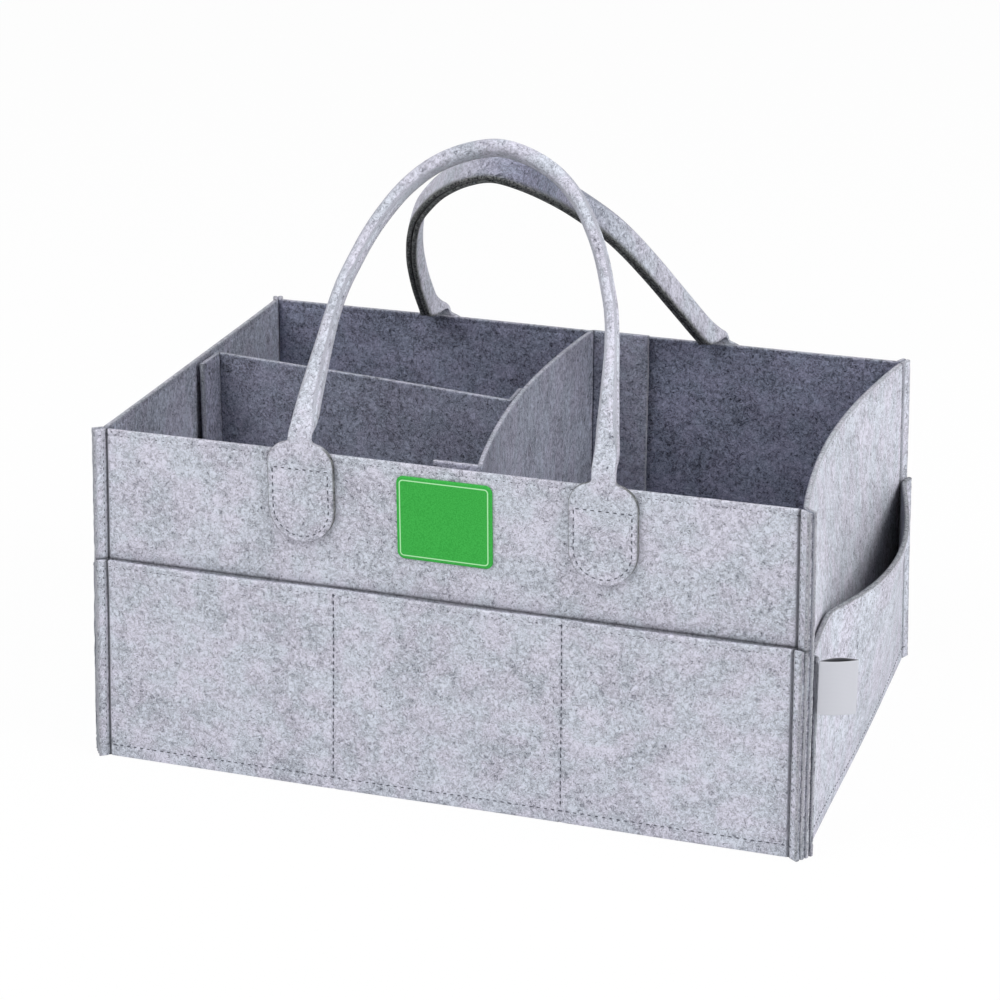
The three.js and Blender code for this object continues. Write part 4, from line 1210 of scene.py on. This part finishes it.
# %% Hook tapes
TAPE_CLEARANCE, RIGHT_TAPE_SHIFT = 0.05, 1.5
TAPE_OFF = FELT / 2 + TAPE_CLEARANCE + WORN_TAPE / 2
front_middle = (2 * CROSS_FRONT_PLACE - CROSS_FRONT_FLAP) / 2
rear_middle = (2 * CROSS_REAR_PLACE + CROSS_REAR_FLAP) / 2
left_middle = LONG_LEFT_PLACE - LONG_LEFT_FLAP / 2
right_middle = LONG_RIGHT_PLACE + LONG_RIGHT_FLAP / 2 + RIGHT_TAPE_SHIFT
width = np.linspace(-1, 1, 9) * TAPE_WIDTH / 2
TAPES = {
    "cross_divider_front": (zipped(front_middle + width[::2], -CROSS_FLAP_Y - TAPE_OFF), FRONT_HEIGHT),
    "cross_divider_rear": (zipped(rear_middle + width[::2], CROSS_FLAP_Y + TAPE_OFF), REAR_HEIGHT),
    "long_divider_left": (zipped(LONG_FLAP_X - TAPE_OFF, left_middle + width[::2]), rim_at(long_flap_end)),
    "long_divider_right": (beside_cross(right_middle + width, BESIDE - TAPE_OFF), rim_at(LONG_RIGHT_PLACE)),
}
for name, (line, rim) in TAPES.items():
    high, node = rim - TAPE_DROP, f"{name}_hook_strip"
    piece, *_ = upright_sheet(
        f"{node}_tape", line, lambda y, high=high: high + 0 * y, name.rsplit("_", 1)[0], high - TAPE_HEIGHT,
        0.5, look=HOOK_LOOK, slot="hook_tape", thickness=WORN_TAPE, step=(6.0, 12.0),
    )
    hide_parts(node)
print(len(TAPES), "hook tapes")

# %% [markdown]
# ## Patch and label
#
# A blank green patch is fixed to the front wall, and a blank white ribbon is
# folded and caught in the front right seam. The patch is the base's tray turned
# to face the front. Its printed line is worked out in the material from the
# distance to a rounded rectangle: the same formula that the mesh follows.

# %% Patch
PATCH_WIDTH, PATCH_HEIGHT, PATCH_RADIUS = 51.0, 45.0, 4.0
PATCH_X, PATCH_Z = 4.0, FRONT_HEIGHT - 6.0 - PATCH_HEIGHT / 2
PATCH_LINE_INSET, PATCH_LINE_HALF = 2.1, 0.28


def patch_material():
    board = Board("green_cloth")
    axes = board.add("ShaderNodeSeparateXYZ", None, {0: board.place}, "X")
    x, z = axes, Signal(board, axes.socket.node.outputs["Z"])

    def beyond(value, centre, half):
        """How far a place lies past the flat stretch of a side."""
        off = abs(value - centre)
        return off.math("MAXIMUM", off - (half - PATCH_RADIUS), 0.0), off

    beyond_x, off_x = beyond(x, PATCH_X, PATCH_WIDTH / 2)
    beyond_z, off_z = beyond(z, PATCH_Z, PATCH_HEIGHT / 2)
    corner = x.math("SQRT", beyond_x * beyond_x + beyond_z * beyond_z) - PATCH_RADIUS
    inner = x.math("MAXIMUM", off_x - PATCH_WIDTH / 2, off_z - PATCH_HEIGHT / 2)
    flat = x.math("MINIMUM", inner + PATCH_RADIUS, 0.0)
    edge = abs(corner + flat + PATCH_LINE_INSET)
    line = 1 - edge.between(PATCH_LINE_HALF * 0.6, PATCH_LINE_HALF * 1.5)
    weave = board.noise(1.6, 2.0, 0.6)
    green = board.blend(weave.between(0.3, 0.7), paint(40, 156, 54), paint(58, 176, 70))
    colour = board.blend(line, green, paint(176, 232, 176))
    return board.finish(
        Base_Color=colour, Roughness=0.6, Specular_IOR_Level=0.3, Normal=board.bump(weave, 0.12, 0.5)
    )


PATCH_PROFILE = [
    (20, 0.1), (8, 0.1), (0.6, 0.1), (0.15, 0.25), (0, 0.55), (0.1, 0.95), (0.45, 1.25), (1.1, 1.4),
    (2.5, 1.42), (8, 1.4), (20, 1.4),
]


def patch_ring(inset):
    """The patch's outline, smaller by the inset all round."""
    half = PATCH_WIDTH / 2 - inset
    return rounded_ring(-half, half, PATCH_HEIGHT / 2 - inset, max(PATCH_RADIUS - inset, 0.8), 8, 6)


def on_front(ring, rise):
    """The ring upright on the front wall, with the rise towards the front."""
    return zipped(PATCH_X + ring[:, 0], -(HALF_DEPTH + GAP / 2 + FELT + rise), PATCH_Z + ring[:, 1])


patch = tray("front_patch_cloth", patch_ring, PATCH_PROFILE[::-1], on_front, patch_material())
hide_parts("front_patch")


# %% Label
LABEL_WIDTH, LABEL_HEIGHT, LABEL_TOP = 19.3, 29.0, 108.6
LABEL_TURN = np.radians(22.0)


def ribbon_material():
    board = Board("white_ribbon")
    ribs = board.add(
        "ShaderNodeTexWave", {"wave_type": "BANDS", "bands_direction": "Z"},
        {"Vector": board.place, "Scale": 0.45, "Distortion": 0.4, "Detail": 1.0},
    )
    ribbon = board.blend(ribs, paint(193, 194, 201), paint(198, 199, 206))
    # Painted shade on the ribbon's back face: the inner faces of its two plies, which face each other.
    colour = board.blend(board.attribute("inside"), ribbon, paint(30, 32, 38))
    return board.finish(
        Base_Color=colour, Roughness=0.45, Specular_IOR_Level=0.4, Normal=board.bump(ribs, 0.03, 0.5)
    )


def label_surface():
    """Middle surface of the ribbon: out along one ply, round the fold and back along the other.
    Both plies start between the raw margins and bow apart, one as a sine of the place along it."""
    root = margin_point(SIDES["right"], -1, SEAM_MARGIN + 0.3, WALL_MIDDLE + FELT / 2 + GAP, np.array(0.0))
    heading = np.array([np.cos(LABEL_TURN), np.sin(LABEL_TURN)])
    aside = np.array([-heading[1], heading[0]])
    ply = np.linspace(0, 1, 16)[:, None]
    bow = np.sin(np.pi * ply)
    near = root[:2] + heading * LABEL_WIDTH * ply - aside * 1.2 * bow
    far = root[:2] + heading * LABEL_WIDTH * ply + aside * (0.6 + 3.2 * bow)
    line = np.concatenate([near, near[-1:] + heading * 0.3 + aside * 0.3, far[::-1]])
    length, plan = along_line(line)

    def surface(s, v):
        return zipped(*np.moveaxis(plan(s), -1, 0), LABEL_TOP - LABEL_HEIGHT + v)

    return surface, length


surface, length = label_surface()
# back paints shade on the inner faces of the two plies.
label = felt_sheet(
    "side_label_ribbon", surface, length, LABEL_HEIGHT, look=ribbon_material(), slot="label",
    thickness=0.35, step=(1.0, 2.0), back=0.9,
)
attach(label, "shell")
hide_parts("side_label")
print("ribbon", round(length), "x", round(LABEL_HEIGHT), "mm")

# %% [markdown]
# ## Camera, light and floor
#
# The camera stands a little to the right of the front and looks down, as in the
# photograph. A large soft lamp from the front left, one from the right and an even sky
# light the felt at a plain level. The floor is white, and for the camera it glows,
# so that the white runs on to the edge of the picture while a faint shadow stays.

# %% Camera
AZIMUTH, ELEVATION, ROLL = np.radians([18.27, 21.79, -0.17])
FOCAL = 3002.0
AIM = np.array([-8.5, 112.8, 1678.0])
SENSOR_WIDTH, PICTURE_WIDTH = 36.0, 1000


def direction(azimuth, elevation):
    """Unit vector from the caddy, at an azimuth from its front and an elevation, in radians."""
    level = np.cos(elevation)
    return np.array([np.sin(azimuth) * level, -np.cos(azimuth) * level, np.sin(elevation)])


def stand(name, data, axes, place):
    """A camera or lamp at a place in metres. axes are its right, its up and its back."""
    piece = bpy.data.objects.new(name, data)
    bpy.context.collection.objects.link(piece)
    pose = np.eye(4)
    pose[:3, :3], pose[:3, 3] = np.stack(axes, -1), place
    piece.matrix_world = Matrix(pose.tolist())
    return piece


back = direction(AZIMUTH, ELEVATION)
level_right = np.array([np.cos(AZIMUTH), np.sin(AZIMUTH), 0.0])
level_up = np.cross(back, level_right)
right = np.cos(ROLL) * level_right + np.sin(ROLL) * level_up
up = -np.sin(ROLL) * level_right + np.cos(ROLL) * level_up
lens = bpy.data.cameras.new("camera")
lens.sensor_width = SENSOR_WIDTH
lens.lens = SENSOR_WIDTH * FOCAL / PICTURE_WIDTH
place = (AIM[0] * right + AIM[1] * up + AIM[2] * back) * MM
bpy.context.scene.camera = stand("camera", lens, (right, up, back), place)
print("camera stands at", place.round(3), "m")


# %% Lamps
def lamp(name, azimuth, elevation, distance, size, power):
    """A square soft lamp that faces the caddy from a direction in degrees."""
    away = direction(*np.radians([azimuth, elevation]))
    data = bpy.data.lights.new(name, "AREA")
    data.size = size
    data.energy = power
    side = unit(np.cross([0, 0, 1.0], away))
    stand(name, data, (side, np.cross(away, side), away), away * distance + [0, 0, LAMP_AIM])
    print("lamp", name, power, "W")


LAMP_AIM = 0.12
lamp("key", -38, 50, 2.2, 1.5, 27.5)
lamp("side", 80, 36, 2.2, 1.4, 32.5)

# %% Sky and floor
def show_camera(tree, lit, seen, output, share):
    """Camera rays meet a second shader in place of the first, to a share. Other light meets the first."""
    kinds = ("LightPath", "Math", "MixShader")
    ray, part, chosen = (tree.nodes.new(f"ShaderNode{kind}") for kind in kinds)
    part.operation = "MULTIPLY"
    part.inputs[1].default_value = share
    for source, target in (
        (ray.outputs["Is Camera Ray"], part.inputs[0]), (part.outputs[0], chosen.inputs[0]),
        (lit.outputs[0], chosen.inputs[1]), (seen.outputs[0], chosen.inputs[2]),
        (chosen.outputs[0], tree.nodes[output].inputs["Surface"]),
    ):
        tree.links.new(source, target)


world = bpy.data.worlds.new("studio")
bpy.context.scene.world = world
world.use_nodes = True
sky = world.node_tree
sky_light = sky.nodes["Background"]
sky_light.inputs["Color"].default_value = (0.97, 0.98, 1.0, 1.0)
sky_light.inputs["Strength"].default_value = 0.42
white = sky.nodes.new("ShaderNodeBackground")
white.inputs["Color"].default_value = (1.0, 1.0, 1.0, 1.0)
show_camera(sky, sky_light, white, "World Output", 1.0)

FLOOR_REACH, FLOOR_GLOW = 9.0, 0.96
corners = [(x * FLOOR_REACH, y * FLOOR_REACH, 0) for x, y in ((-1, -1), (1, -1), (1, 1), (-1, 1))]
floor_mesh = bpy.data.meshes.new("floor")
floor_mesh.from_pydata(corners, [], [(0, 1, 2, 3)])
floor = bpy.data.objects.new("floor", floor_mesh)
bpy.context.collection.objects.link(floor)
floor_board = Board("white_floor")
floor_paint = {"Base_Color": (0.86, 0.86, 0.86, 1.0), "Roughness": 1.0, "Specular_IOR_Level": 0.0}
floor_mesh.materials.append(floor_board.finish(**floor_paint))
glow = floor_board.tree.nodes.new("ShaderNodeEmission")
show_camera(floor_board.tree, floor_board.shader, glow, "Material Output", FLOOR_GLOW)
print("floor", 2 * FLOOR_REACH, "m wide")

bpy.context.scene.view_settings.view_transform = "Standard"
